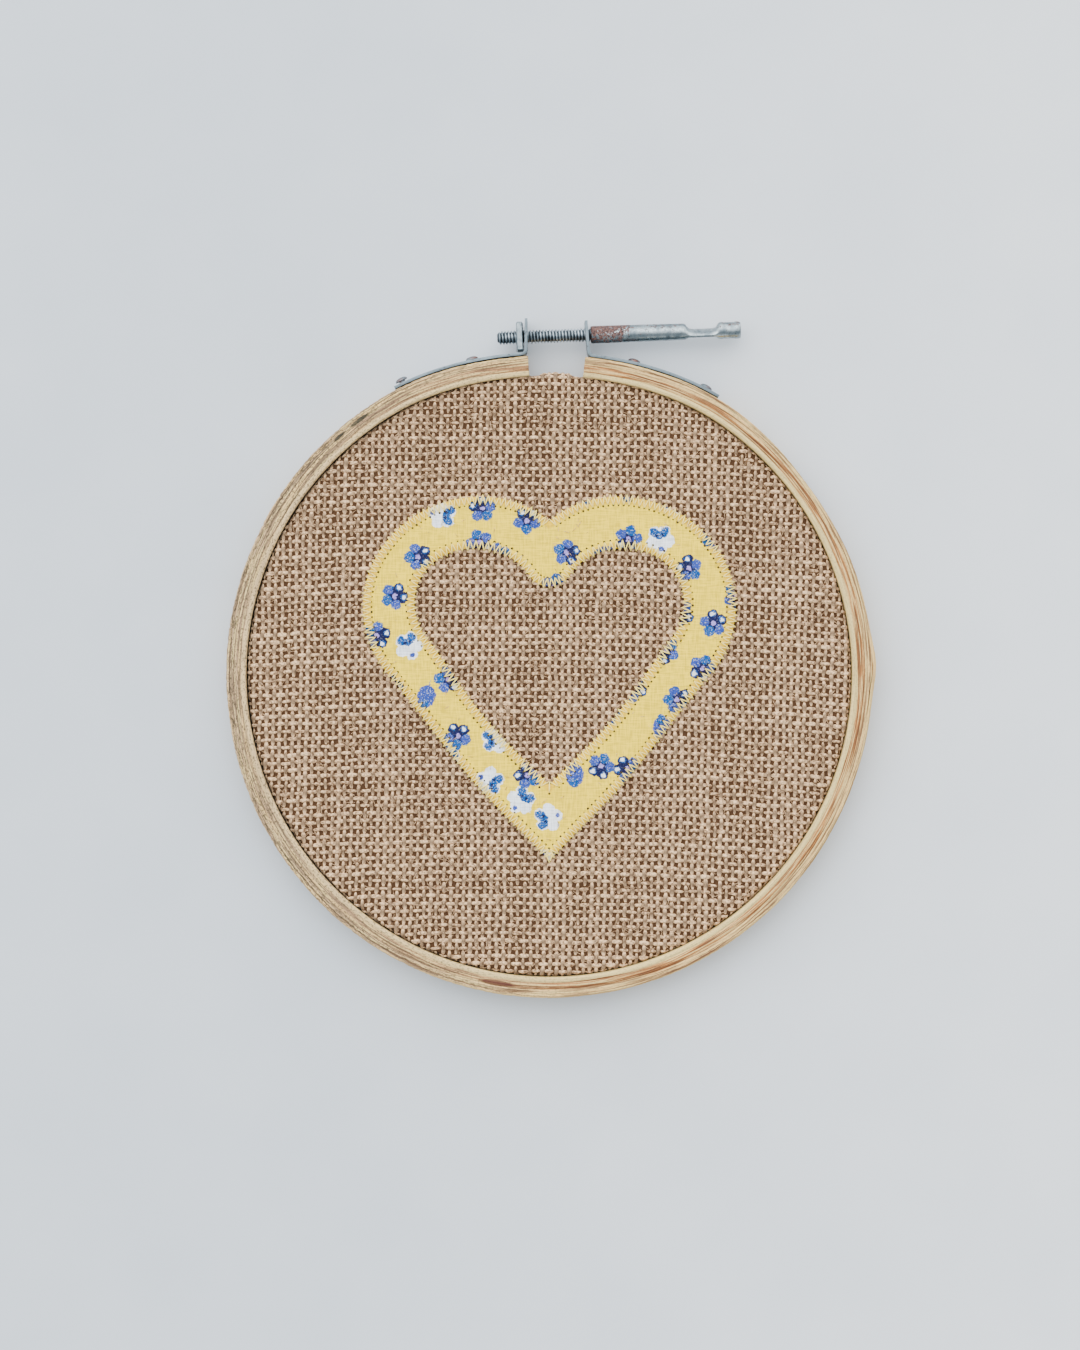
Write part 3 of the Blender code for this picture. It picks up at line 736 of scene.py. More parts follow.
def jute(name, cloth, along):
    """Jute yarn, spun coarse and left undyed: dry, matt and hairy, each yarn with its own tone, with painted
    shade where it dips under its neighbour."""
    material, tree = new_material(name, Roughness=0.95, IOR=1.5, Specular_IOR_Level=0.15,
                                  Sheen_Weight=0.12, Sheen_Roughness=0.6)
    place = object_place(tree)
    scale = (420.0, 3300.0, 3300.0) if along == "X" else (3300.0, 420.0, 3300.0)
    twist = add_node(tree, "ShaderNodeMapping", {"Vector": place, "Rotation": (0.0, 0.0, 0.3)})
    fibres = noise(tree, stretched(tree, twist, scale), 1.0, 4.0, 0.7)
    mixed = calc(tree, "MULTIPLY_ADD", fibres, 1.3,
                 remap(tree, attribute(tree, "yarn_tone"), 0.0, 1.0, 0.14, 0.58))
    mixed = calc(tree, "MULTIPLY_ADD", noise(tree, place, 1700.0, 3.0), 2.6, mixed)
    # The warp is painted paler than the weft: painted light that evens out the shade on the upright yarns.
    darkest = 1.72 if along == "X" else 1.48
    shade = mix(tree, remap(tree, mixed, darkest, darkest + 0.85), cloth.dark, cloth.light)
    # Painted shade: the yarn is darkened towards the colour between yarns where it dips.
    low = remap(tree, attribute(tree, "yarn_lift"), 0.0, -0.95, 0.0, 0.8)
    return finish_material(material, mix(tree, low, shade, cloth.deep), fibres, 0.8, 0.2 * MM)


def hole_shade_sheet(cloth):
    """Sheet in the middle of the weave, dark brown: painted shade for the holes between the yarns, with a
    little fluff.
    """
    material, tree = new_material("hole_shade_sheet", Roughness=1.0, Specular_IOR_Level=0.1)
    fluff = noise(tree, object_place(tree), 2200.0, 3.0)
    shade = mix(tree, remap(tree, fluff, 0.45, 0.9, 0.0, 0.4), cloth.deep, cloth.dark)
    return finish_material(material, shade, fluff, 0.5, 0.2 * MM)


def woven_yarns_tree():
    """Rule of a plain weave: parallel yarns that swing over and under the yarns across them."""
    tree, given = new_tree(
        "woven_yarns", ints=("First", "Count", "Crossings", "Seed"), flags=("Upright",),
        floats=("Spacing", "Cross Spacing", "Half Width", "Half Height", "Crimp", "Slub", "Wander", "Lean",
                "Slope", "Bow", "Cut Radius"))
    roots = geo(tree, "MeshLine", Count=given["Count"], Offset=point(tree, y=given["Spacing"]),
                Start_Location=point(tree, y=product(tree, given["First"], given["Spacing"])))
    half = product(tree, given["Crossings"], given["Cross Spacing"])
    back = product(tree, half, -1.0)
    line = geo(tree, "CurvePrimitiveLine", Start=point(tree, back), End=point(tree, half))
    count = calc(tree, "MULTIPLY_ADD", given["Crossings"], 8.0, 1.0)
    line = geo(tree, "ResampleCurve", Curve=line, Count=count)
    yarns = geo(tree, "InstanceOnPoints", Points=roots, Instance=line)
    yarns = geo(tree, "RealizeInstances", Geometry=yarns)
    x, y, _ = parts_of(tree, geo(tree, "InputPosition"))
    row = calc(tree, "ROUND", calc(tree, "DIVIDE", y, given["Spacing"]))
    column = calc(tree, "DIVIDE", x, given["Cross Spacing"])
    swing = calc(tree, "COSINE", product(tree, calc(tree, "ADD", row, column), math.pi))
    for name, value in (("yarn_row", row), ("yarn_swing", swing), ("yarn_run", x)):
        yarns = store_number(tree, yarns, name, value)
    height = product(tree, swing, given["Crimp"])
    thread = point(tree, product(tree, x, 160.0), product(tree, row, 17.31),
                   product(tree, given["Seed"], 3.7))
    stray = remap(tree, noise(tree, thread, 1.0), 0.2, 0.8, -1.0, 1.0)
    stray = calc(tree, "MULTIPLY_ADD", stray, given["Wander"], y)
    flat = add_node(tree, "GeometryNodeSwitch", {
        "Switch": given["Upright"], "False": point(tree, x, stray, height),
        "True": point(tree, stray, x, height)}, input_type="VECTOR")
    # The whole cloth leans and bows, and is pulled out of true a little in places.
    east, north, _ = parts_of(tree, flat)
    curve = calc(tree, "MULTIPLY_ADD", east, given["Bow"], given["Slope"])
    drop = product(tree, east, curve, -1.0)
    shared = calc_vector(tree, "SUBTRACT", noise(tree, flat, 95.0).outputs["Color"], (0.5, 0.5, 0.5))
    shared = calc_vector(tree, "MULTIPLY", shared, (1.3 * MM, 1.3 * MM, 0.3 * MM))
    pulled = calc_vector(tree, "ADD", point(tree, product(tree, north, given["Lean"]), drop), shared)
    yarns = geo(tree, "SetPosition", Geometry=yarns, Position=calc_vector(tree, "ADD", pulled, flat))
    level = calc_vector(tree, "MULTIPLY", geo(tree, "InputPosition"), (1.0, 1.0, 0.0))
    outside = add_node(tree, "FunctionNodeCompare", {0: size_of(tree, level), 1: given["Cut Radius"]},
                       data_type="FLOAT", operation="GREATER_THAN")
    yarns = geo(tree, "DeleteGeometry", Geometry=yarns, Selection=outside)
    return close_tree(tree, spin_yarns(tree, given, yarns), given)


def spin_yarns(tree, given, yarns):
    """Give each yarn its thickness and tone, and make it round."""
    row, swing, run = (add_node(tree, "GeometryNodeInputNamedAttribute", {"Name": name}, data_type="FLOAT")
                       for name in ("yarn_row", "yarn_swing", "yarn_run"))
    own = random_number(tree, 0.0, 1.0, given["Seed"], ID=row)
    lumps = noise(tree, point(tree, product(tree, run, 420.0), product(tree, row, 9.13), given["Seed"]), 1.0)
    scale = remap(tree, calc(tree, "MULTIPLY_ADD", own, 0.35, lumps), 0.35, 1.0,
                  calc(tree, "SUBTRACT", 1.0, given["Slub"]), calc(tree, "ADD", 1.0, given["Slub"]))
    yarns = store_number(tree, yarns, "yarn_tone", product(tree, own, lumps))
    yarns = store_number(tree, yarns, "yarn_lift", swing)
    yarns = add_node(tree, "GeometryNodeSetCurveNormal", {"Curve": yarns}, mode="Z_UP")
    outline = geo(tree, "CurvePrimitiveCircle", Resolution=6, Radius=1.0)
    outline = geo(tree, "Transform", Geometry=outline,
                  Scale=point(tree, given["Half Width"], given["Half Height"], 1.0))
    return geo(tree, "CurveToMesh", Curve=yarns, Profile_Curve=outline, Scale=scale, Fill_Caps=True)


def stray_fibres_tree():
    """Short bent fibres that stand off the cloth, scattered by a fixed seed."""
    tree, given = new_tree("stray_fibres", ("Radius", "Length", "Thickness", "Height"), ("Count", "Seed"))
    line = geo(tree, "CurveQuadraticBezier", Resolution=4, Start=(-0.5, 0.0, 0.0), Middle=(0.05, 0.35, 0.45),
               End=(0.5, 0.0, -0.05))
    roots = geo(tree, "MeshLine", Count=given["Count"], Offset=(0.0, 0.0, 0.0))
    round_seed, turn_seed, size_seed = (calc(tree, "ADD", given["Seed"], more) for more in (1.0, 2.0, 3.0))
    far = calc(tree, "POWER", random_number(tree, 0.0, 1.0, given["Seed"]), 0.5)
    far = product(tree, far, given["Radius"])
    angle = random_number(tree, 0.0, TAU, round_seed)
    spot = point(tree, product(tree, far, calc(tree, "COSINE", angle)),
                 product(tree, far, calc(tree, "SINE", angle)), given["Height"])
    roots = geo(tree, "SetPosition", Geometry=roots, Position=spot)
    turn = add_node(tree, "FunctionNodeRandomValue", {
        0: (-0.5, -0.3, 0.0), 1: (1.2, 0.3, TAU), "Seed": turn_seed}, data_type="FLOAT_VECTOR")
    size = product(tree, random_number(tree, 0.35, 1.0, size_seed), given["Length"])
    fibres = geo(tree, "InstanceOnPoints", Points=roots, Instance=line, Rotation=turn, Scale=size)
    fibres = geo(tree, "RealizeInstances", Geometry=fibres)
    outline = geo(tree, "CurvePrimitiveCircle", Resolution=3, Radius=given["Thickness"])
    tubes = geo(tree, "CurveToMesh", Curve=fibres, Profile_Curve=outline, Scale=1.0, Fill_Caps=True)
    return close_tree(tree, tubes, given)


class HOOPART_OT_make_burlap(Operator):
    bl_idname = "hoop_art.make_burlap"
    bl_label = "Burlap"

    def execute(self, context):
        cloth = context.scene.hoop_burlap
        middle_height = CLOTH_TOP - cloth.thickness / 2.0
        tree = woven_yarns_tree()
        reach = cloth.cut_radius + 3.0 * MM
        warps = int(reach / cloth.warp_spacing)
        wefts = int(reach / cloth.weft_spacing)
        finishes = {True: jute("jute_warp", cloth, "Y"), False: jute("jute_weft", cloth, "X")}
        for name, upright, first, count in (
                ("burlap_warp_left", True, -warps, warps), ("burlap_warp_right", True, 0, warps + 1),
                ("burlap_weft_lower", False, -wefts, wefts), ("burlap_weft_upper", False, 0, wefts + 1)):
            mesh = grow(name, tree, {
                "First": first, "Count": count, "Upright": upright,
                "Spacing": cloth.warp_spacing if upright else cloth.weft_spacing,
                "Cross Spacing": cloth.weft_spacing if upright else cloth.warp_spacing,
                "Crossings": wefts if upright else warps,
                "Half Width": cloth.half_width, "Half Height": cloth.half_height,
                "Crimp": -cloth.crimp if upright else cloth.crimp, "Slub": cloth.slub,
                "Wander": cloth.wander, "Lean": WEAVE_LEAN, "Slope": WEAVE_SLOPE, "Bow": WEAVE_BOW,
                "Cut Radius": cloth.cut_radius, "Seed": 3 if upright else 8, "Material": finishes[upright]})
            lay_on_ring(mesh, middle_height)
            add_piece(name, mesh, "hoop")
        ground = self.make_shade_sheet(cloth, middle_height)
        if cloth.fibres:
            mesh = grow("jute_fibres", stray_fibres_tree(), {
                "Count": cloth.fibres, "Radius": FLAT_RADIUS, "Length": 3.4 * MM,
                "Thickness": 0.07 * MM, "Height": CLOTH_TOP - 0.1 * MM, "Seed": 21,
                "Material": finishes[False]})
            mesh.transform(matrix_to(MIDDLE))
            add_piece("jute_fibres", mesh, "hoop")
        return {"FINISHED"}

    def make_shade_sheet(self, cloth, middle_height):
        """Thin round sheet in the middle of the weave, dark as painted shade for its holes."""
        mesh = bpy.data.meshes.new("burlap_shade_sheet")
        shape = bmesh.new()
        middle = shape.verts.new((0.0, 0.0, 0.0))
        radii = np.concatenate([np.linspace(6.0 * MM, FLAT_RADIUS, 12),
                                np.linspace(FLAT_RADIUS, cloth.cut_radius - 0.4 * MM, 13)[1:]])
        sides = 180
        angles = np.linspace(0.0, TAU, sides, endpoint=False)
        rings = [[shape.verts.new((radius * math.sin(a), radius * math.cos(a), 0.0)) for a in angles]
                 for radius in radii]
        for side in range(sides):
            after = (side + 1) % sides
            shape.faces.new((middle, rings[0][after], rings[0][side]))
            for ring, wider in zip(rings, rings[1:]):
                shape.faces.new((ring[side], ring[after], wider[after], wider[side]))
        shape.to_mesh(mesh)
        shape.free()
        lay_on_ring(mesh, middle_height)
        face_outwards(mesh)
        mesh.materials.append(hole_shade_sheet(cloth))
        mesh.shade_smooth()
        ground = add_piece("burlap_shade_sheet", mesh, "hoop", ["cloth"])
        thick = ground.modifiers.new("thickness", "SOLIDIFY")
        thick.thickness = 0.2 * MM
        thick.offset = 0.0
        return ground


def heart_middle_line():
    """Right half of the band's middle line, from the notch over the lobe down to the tip."""
    notch = math.degrees(math.acos(-LOBE_X / LOBE_RADIUS))
    to_tip = Vector((-LOBE_X, TIP_Y - LOBE_Y))
    lean = math.degrees(math.atan2(to_tip.y, to_tip.x))
    leave = lean + math.degrees(math.acos(LOBE_RADIUS / to_tip.length))
    points = [Vector(place) for place in arc((LOBE_X, LOBE_Y), LOBE_RADIUS, notch, leave, LOBE_STEPS)]
    start = points[-1]
    side = Vector((0.0, TIP_Y)) - start
    outward = Vector((-side.y, side.x)).normalized()
    for step in range(1, SIDE_STEPS + 1):
        part = step / SIDE_STEPS
        bow = SIDE_BOW * math.sin(math.pi * part) * (1.0 - part)
        points.append(start + side * part + outward * bow)
    return points


def band_edge(points, sign):
    """One edge of the half band, at its own uneven distance from the middle line."""
    edge = []
    run = 0.0
    for number, place in enumerate(points):
        ahead = points[min(number + 1, len(points) - 1)]
        behind = points[max(number - 1, 0)]
        outward = (ahead - behind).normalized().orthogonal()
        run += (place - behind).length
        uneven = BAND_UNEVEN * math.sin(TAU * run / BAND_UNEVEN_LENGTH + sign)
        edge.append(place + outward * sign * (BAND_HALF_WIDTH + uneven))
    return edge


def meet_middle(inside, outside):
    """Point where the line from one point to another crosses the heart's line of symmetry."""
    return inside + (outside - inside) * (inside.x / (inside.x - outside.x))


def heart_halves():
    """Right half of the band's outer and inner edge, from the notch to the tip."""
    middle = heart_middle_line()
    outer = band_edge(middle, 1.0)
    crossing = next(number for number, place in enumerate(outer) if place.x > 0.0)
    first = meet_middle(outer[crossing], outer[crossing - 1])
    tip = meet_middle(outer[-1], outer[-1] + (outer[-1] - outer[-2]) * 80.0)
    inner = band_edge(middle, -1.0)
    last = next(number for number in range(len(inner) - 1, 0, -1) if inner[number].x > 0.0)
    inner_tip = meet_middle(inner[last], inner[last + 1])
    reach = inner[0] - middle[0]
    down = Vector((0.0, -1.0))
    corner = [middle[0] + down.slerp(reach.normalized(), step / 10.0) * reach.length for step in range(10)]
    return [first] + outer[crossing:] + [tip], corner + inner[:last + 1] + [inner_tip]


def whole_edge(half, count):
    """Closed edge of the heart from its right half, evenly spaced, round the hoop's middle."""
    line = np.array(half)
    run = np.concatenate([[0.0], np.cumsum(np.hypot(*np.diff(line, axis=0).T))])
    wanted = np.linspace(0.0, run[-1], count)
    right = np.stack([np.interp(wanted, run, line[:, axis]) for axis in (0, 1)], -1)
    left = right[-2:0:-1] * (-1.0, 1.0)
    return np.concatenate([right, left]) + (MIDDLE.x, MIDDLE.y)


def shoelace(loop):
    """Signed area inside a closed flat loop, positive if it runs anticlockwise."""
    x, y = loop.T
    return float(np.sum(x * np.roll(y, -1) - y * np.roll(x, -1)) / 2.0)


def printed_cotton(cotton):
    """Quilting cotton, printed with small flowers: smooth and matt, a fine plain weave, ink that soaks
    in with soft rims. Blue flowers, white flowers and buds stand in the cells of a loose grid."""
    material, tree = new_material("printed_cotton", Roughness=0.9, IOR=1.5, Specular_IOR_Level=0.2,
                                  Sheen_Weight=0.08)
    place = object_place(tree)
    page = stretched(tree, place, (1000.0, 1000.0, 0.0), Rotation=(0.0, 0.0, 0.5), Location=(3.0, 8.0, 0.0))
    bleed = calc_vector(tree, "SUBTRACT", noise(tree, page, 1.1, 3.0).outputs["Color"], (0.5, 0.5, 0.5))
    page = calc_vector(tree, "ADD", page, calc_vector(tree, "SCALE", bleed, Scale=1.3))
    cell = add_node(tree, "ShaderNodeTexVoronoi", {"Vector": page, "Scale": MM / cotton.motif_spacing,
                                                   "Randomness": 0.6}, voronoi_dimensions="2D")
    local = calc_vector(tree, "SUBTRACT", page, cell.outputs["Position"])
    chance = add_node(tree, "ShaderNodeSeparateColor", {0: cell.outputs["Color"]})
    roll = product(tree, chance.outputs[0], TAU)
    local = add_node(tree, "ShaderNodeVectorRotate", {"Vector": local, "Angle": roll},
                     rotation_type="Z_AXIS")
    shade = cotton.ground
    for mask, tint in flower_inks(tree, local, chance.outputs[1], cotton):
        shade = mix(tree, mask, shade, tint)
    # The blue inks miss the cloth in places and leave it pale.
    missed = remap(tree, noise(tree, place, 3100.0, 1.0), 0.57, 0.68, 0.0, 1.5)
    inked = add_node(tree, "ShaderNodeSeparateColor", {0: shade})
    blue = calc(tree, "SUBTRACT", inked.outputs[2], inked.outputs[0], use_clamp=True)
    shade = mix(tree, product(tree, missed, blue), shade, cotton.white)
    weave = 0.0
    for scale in ((280.0, 2700.0, 0.0), (2700.0, 280.0, 0.0)):
        weave = calc(tree, "ADD", noise(tree, stretched(tree, place, scale), 1.0, 1.0), weave)
    pale = remap(tree, weave, 0.75, 1.2, 0.76, 1.12)
    shade = calc_vector(tree, "SCALE", shade, Scale=pale)
    # Under the stitches the cloth is drawn down and lies in their shade.
    sewn = remap(tree, attribute(tree, "rim"), 2.3 * MM, 1.6 * MM)
    sewn = add_node(tree, "ShaderNodeMix", {0: sewn, 4: (1.0, 1.0, 1.0), 5: (0.82, 0.74, 0.55)},
                    data_type="VECTOR")
    return finish_material(material, calc_vector(tree, "MULTIPLY", shade, sewn), weave, 0.5, 0.1 * MM)


def petal_distance(tree, angle, radius, reach):
    """Distance in millimetres from the middle of the nearest of five petals."""
    fold = calc(tree, "SUBTRACT", calc(tree, "WRAP", angle, 0.0, TAU / 5.0), TAU / 10.0)
    along = calc(tree, "SUBTRACT", product(tree, radius, calc(tree, "COSINE", fold)), reach)
    return size_of(tree, point(tree, along, product(tree, radius, calc(tree, "SINE", fold))))


def flower_inks(tree, local, kind, cotton):
    """Inks of the three motifs, lowest first: masks from 0 to 1, each with its colour. Sizes are in mm."""
    east, north, _ = parts_of(tree, local)
    angle = calc(tree, "ADD", calc(tree, "ARCTAN2", north, east), math.pi)
    radius = size_of(tree, local)
    petal, tips, bits = (petal_distance(tree, angle, radius, reach) for reach in (2.1, 2.45, 1.15))
    oval = size_of(tree, calc_vector(tree, "MULTIPLY", local, (0.8, 1.0, 0.0)))
    taper = calc(tree, "MULTIPLY_ADD", east, -0.08, calc(tree, "ABSOLUTE", north))
    ahead = calc(tree, "ABSOLUTE", calc(tree, "ADD", east, 4.4))
    # Each ink: its motif, its petals, then what is inside which distance, and its colour.
    layers = (
        (BLUE_FLOWER, ALL_ROUND, ((petal, 1.45), (radius, 1.9)), cotton.azure),
        (BLUE_FLOWER, ALL_ROUND, ((radius, 1.75),), cotton.navy),
        (BLUE_FLOWER, THIRD, ((petal, 1.12),), cotton.periwinkle),
        (BLUE_FLOWER, FOURTH, ((petal, 1.3),), cotton.azure),
        (BLUE_FLOWER, FIFTH, ((petal, 1.2),), cotton.periwinkle),
        (BLUE_FLOWER, FIRST_TWO, ((petal, 1.5),), cotton.navy),
        (BLUE_FLOWER, FIRST_TWO, ((tips, 0.92),), cotton.azure),
        (BLUE_FLOWER, FIRST_TWO, ((tips, 0.62),), cotton.white),
        (BLUE_FLOWER, ALL_ROUND, ((radius, 0.7),), cotton.lilac),
        (WHITE_FLOWER, ALL_ROUND, ((petal, 1.62), (radius, 2.3)), cotton.white),
        (WHITE_FLOWER, FIRST_TWO, ((bits, 1.3), (tips, 1.1)), cotton.azure),
        (WHITE_FLOWER, FIRST_TWO, ((bits, 0.45),), cotton.navy),
        (WHITE_FLOWER, FOURTH, ((tips, 0.7),), cotton.periwinkle),
        (BUD, ALL_ROUND, ((ahead, 2.6, taper, 0.5),), cotton.azure),
        (BUD, ALL_ROUND, ((oval, 2.35),), cotton.periwinkle),
        (BUD, THIRD, ((petal, 1.3),), cotton.azure),
    )
    inks = []
    for kinds, petals, insides, tint in layers:
        mask = 0.0
        for inside in insides:
            shape = 1.0
            for distance, size in zip(inside[::2], inside[1::2]):
                shape = product(tree, remap(tree, distance, size, size - 0.16), shape)
            mask = calc(tree, "MAXIMUM", shape, mask)
        for value, (low, high) in ((kind, kinds), (angle, petals)):
            half = (high - low) / 2.0
            mask = product(tree, calc(tree, "COMPARE", value, low + half, half), mask)
        inks.append((mask, tint))
    return inks


def even_line(tree, given):
    """The edge that a tree is given, as a line with evenly spaced points."""
    line = geo(tree, "MeshToCurve", Mesh=given["Geometry"])
    return geo(tree, "ResampleCurve", Curve=line, Count=given["Points"])


def sideways(tree, shift):
    """Level step to the side of a line."""
    across = calc_vector(tree, "CROSS_PRODUCT", geo(tree, "InputTangent"), (0.0, 0.0, 1.0))
    return calc_vector(tree, "SCALE", across, Scale=shift)


def zigzag_tree():
    """Machine zigzag along an edge: thread that jumps from side to side, arched between needle holes."""
    tree, given = new_tree("zigzag", ("Width", "Outside", "Inward", "Rise", "Arch", "Dip", "Jitter",
                                      "Thread Radius"), ("Points", "Seed"))
    odd = calc(tree, "MODULO", geo(tree, "InputIndex"), 2.0)
    shift = calc(tree, "SUBTRACT", product(tree, odd, given["Width"]), given["Outside"])
    loose = random_number(tree, -1.0, 1.0, given["Seed"])
    shift = calc(tree, "MULTIPLY_ADD", loose, given["Jitter"], shift)
    jump = calc_vector(tree, "ADD", sideways(tree, product(tree, shift, given["Inward"])),
                       point(tree, z=product(tree, odd, given["Rise"])))
    line = geo(tree, "SetPosition", Geometry=even_line(tree, given), Offset=jump)
    line = geo(tree, "SubdivideCurve", Curve=line, Cuts=3)
    part = calc(tree, "MODULO", geo(tree, "InputIndex"), 4.0)
    arch = calc(tree, "SINE", product(tree, part, math.pi / 4.0))
    arch = product(tree, arch, calc(tree, "ADD", given["Arch"], given["Dip"]))
    arch = calc(tree, "SUBTRACT", arch, given["Dip"])
    line = geo(tree, "SetPosition", Geometry=line, Offset=point(tree, z=arch))
    outline = geo(tree, "CurvePrimitiveCircle", Resolution=5, Radius=given["Thread Radius"])
    thread = geo(tree, "CurveToMesh", Curve=line, Profile_Curve=outline, Scale=1.0)
    return close_tree(tree, thread, given)


def needle_holes_tree():
    """Flat dark specks of painted shade where the needle went through the cotton, one for every other zigzag
    point.
    """
    tree, given = new_tree("needle_holes", ("Shift", "Radius"), ("Points", "Seed"))
    line = geo(tree, "SetPosition", Geometry=even_line(tree, given), Offset=sideways(tree, given["Shift"]))
    speck = geo(tree, "MeshIcoSphere", Radius=given["Radius"], Subdivisions=1)
    speck = geo(tree, "Transform", Geometry=speck, Scale=(1.0, 1.0, 0.2))
    chosen = calc(tree, "MODULO", geo(tree, "InputIndex"), 2.0)
    size = random_number(tree, 0.6, 1.1, given["Seed"])
    specks = geo(tree, "InstanceOnPoints", Points=line, Selection=chosen, Instance=speck, Scale=size)
    return close_tree(tree, specks, given)


def sewing_thread(cotton):
    """Polyester sewing thread, mercerised look: soft gloss, paler where it catches the light."""
    material, tree = new_material("yellow_thread", Roughness=0.55, IOR=1.5, Specular_IOR_Level=0.5,
                                  Sheen_Weight=0.15)
    twist = noise(tree, object_place(tree), 3200.0)
    shade = mix(tree, remap(tree, twist, 0.3, 0.7, 0.0, 0.6), cotton.thread, cotton.ground)
    return finish_material(material, shade, twist, 0.4, 0.05 * MM)


def needle_hole_shade(cotton):
    """Cotton where the needle pricked it: a dark golden speck of painted shade."""
    material, tree = new_material("needle_hole_shade", Roughness=0.95)
    fluff = remap(tree, noise(tree, object_place(tree), 1800.0), 0.5, 0.9, 0.0, 0.3)
    return finish_material(material, mix(tree, fluff, cotton.hole, cotton.ground))


def swell(x, y):
    """Height of the cotton's slow waves and puckers over its own top."""
    x = x - MIDDLE.x
    y = y - MIDDLE.y
    slow = np.sin(x * 210.0 + 0.7) * np.sin(y * 260.0 + 1.9)
    pucker = np.sin(x * 900.0 + 2.0 * np.sin(y * 300.0)) * np.sin(y * 1050.0 + 2.0 * np.sin(x * 350.0))
    return 0.11 * MM * slow + 0.05 * MM * pucker


class HOOPART_OT_make_heart(Operator):
    """Cut the flowered heart, lay it on the burlap and sew it down."""

    bl_idname = "hoop_art.make_heart"
    bl_label = "Cotton heart and stitches"

    def execute(self, context):
        cotton = context.scene.hoop_cotton
        outer, inner = heart_halves()
        heart = self.make_cotton(cotton, outer, inner)
        sewn = [*self.sew(cotton, "outer", outer, 1.0), *self.sew(cotton, "inner", inner, -1.0)]
        return {"FINISHED"}

    def make_cotton(self, cotton, outer_half, inner_half):
        """Band between the two edges, with its thickness, its crowns and its puckered rims."""
        along = 420
        across = 20
        outer = whole_edge(outer_half, along)
        inner = whole_edge(inner_half, along)
        part = 0.5 - 0.5 * np.cos(np.pi * np.linspace(0.0, 1.0, across + 1))
        flat = outer[:, None, :] * (1.0 - part)[None, :, None] + inner[:, None, :] * part[None, :, None]
        rim = np.minimum(part, 1.0 - part)[None, :] * np.hypot(*(outer - inner).T)[:, None]
        x = flat[..., 0] - MIDDLE.x
        y = flat[..., 1] - MIDDLE.y
        # The yarns below show faintly through the cotton.
        crowns = np.cos(np.pi * x / WARP_SPACING) * np.cos(np.pi * (y + WEAVE_BOW * x * x) / WEFT_SPACING)
        height = COTTON_TOP + swell(flat[..., 0], flat[..., 1]) + 0.035 * MM * crowns
        height = height - 0.34 * MM * np.exp(-(rim / (0.7 * MM)) ** 2)
        upper = np.concatenate([flat, height[..., None]], -1)
        lower = upper - (0.0, 0.0, cotton.thickness)
        rows = np.concatenate([upper, lower[:, ::-1]], 1)
        mesh = skin("heart_cotton", rows, printed_cotton(cotton), True, 50.0)
        store_values(mesh, "rim", "FLOAT", "value", np.concatenate([rim, rim[:, ::-1]], 1))
        return add_piece("heart_cotton", mesh, "hoop", ["applique"])

    def sew(self, cotton, name, half, inward):
        """Zigzag and needle holes along one edge of the heart."""
        edge = whole_edge(half, 400)
        around = float(np.hypot(*(edge - np.roll(edge, 1, axis=0)).T).sum())
        stitches = 2 * round(around / cotton.zigzag_pitch)
        outside = 0.6 * MM
        low = CLOTH_TOP + 0.08 * MM
        edges = [(number, (number + 1) % len(edge)) for number in range(len(edge))]
        facing = -inward if shoelace(edge) > 0.0 else inward
        jobs = (
            ("zigzag_" + name, zigzag_tree(), low, {
                "Points": stitches, "Width": cotton.zigzag_width, "Outside": outside, "Inward": facing,
                "Rise": COTTON_TOP - low, "Arch": 0.33 * MM, "Dip": 0.04 * MM, "Jitter": 0.14 * MM,
                "Thread Radius": cotton.thread_radius, "Seed": 5, "Material": sewing_thread(cotton)}),
            ("needle_holes_" + name, needle_holes_tree(), COTTON_TOP + 0.01 * MM, {
                "Points": stitches, "Shift": (cotton.zigzag_width - outside + 0.2 * MM) * facing,
                "Radius": 0.34 * MM, "Seed": 9, "Material": needle_hole_shade(cotton)}),
        )
        pieces = []
        for label, tree, height, values in jobs:
            mesh = grow(label, tree, values, [(x, y, height) for x, y in edge], edges)
            points = coordinates(mesh)
            points[:, 2] += swell(points[:, 0], points[:, 1])
            set_coordinates(mesh, points)
            pieces.append(add_piece(label, mesh, "hoop"))
        return pieces


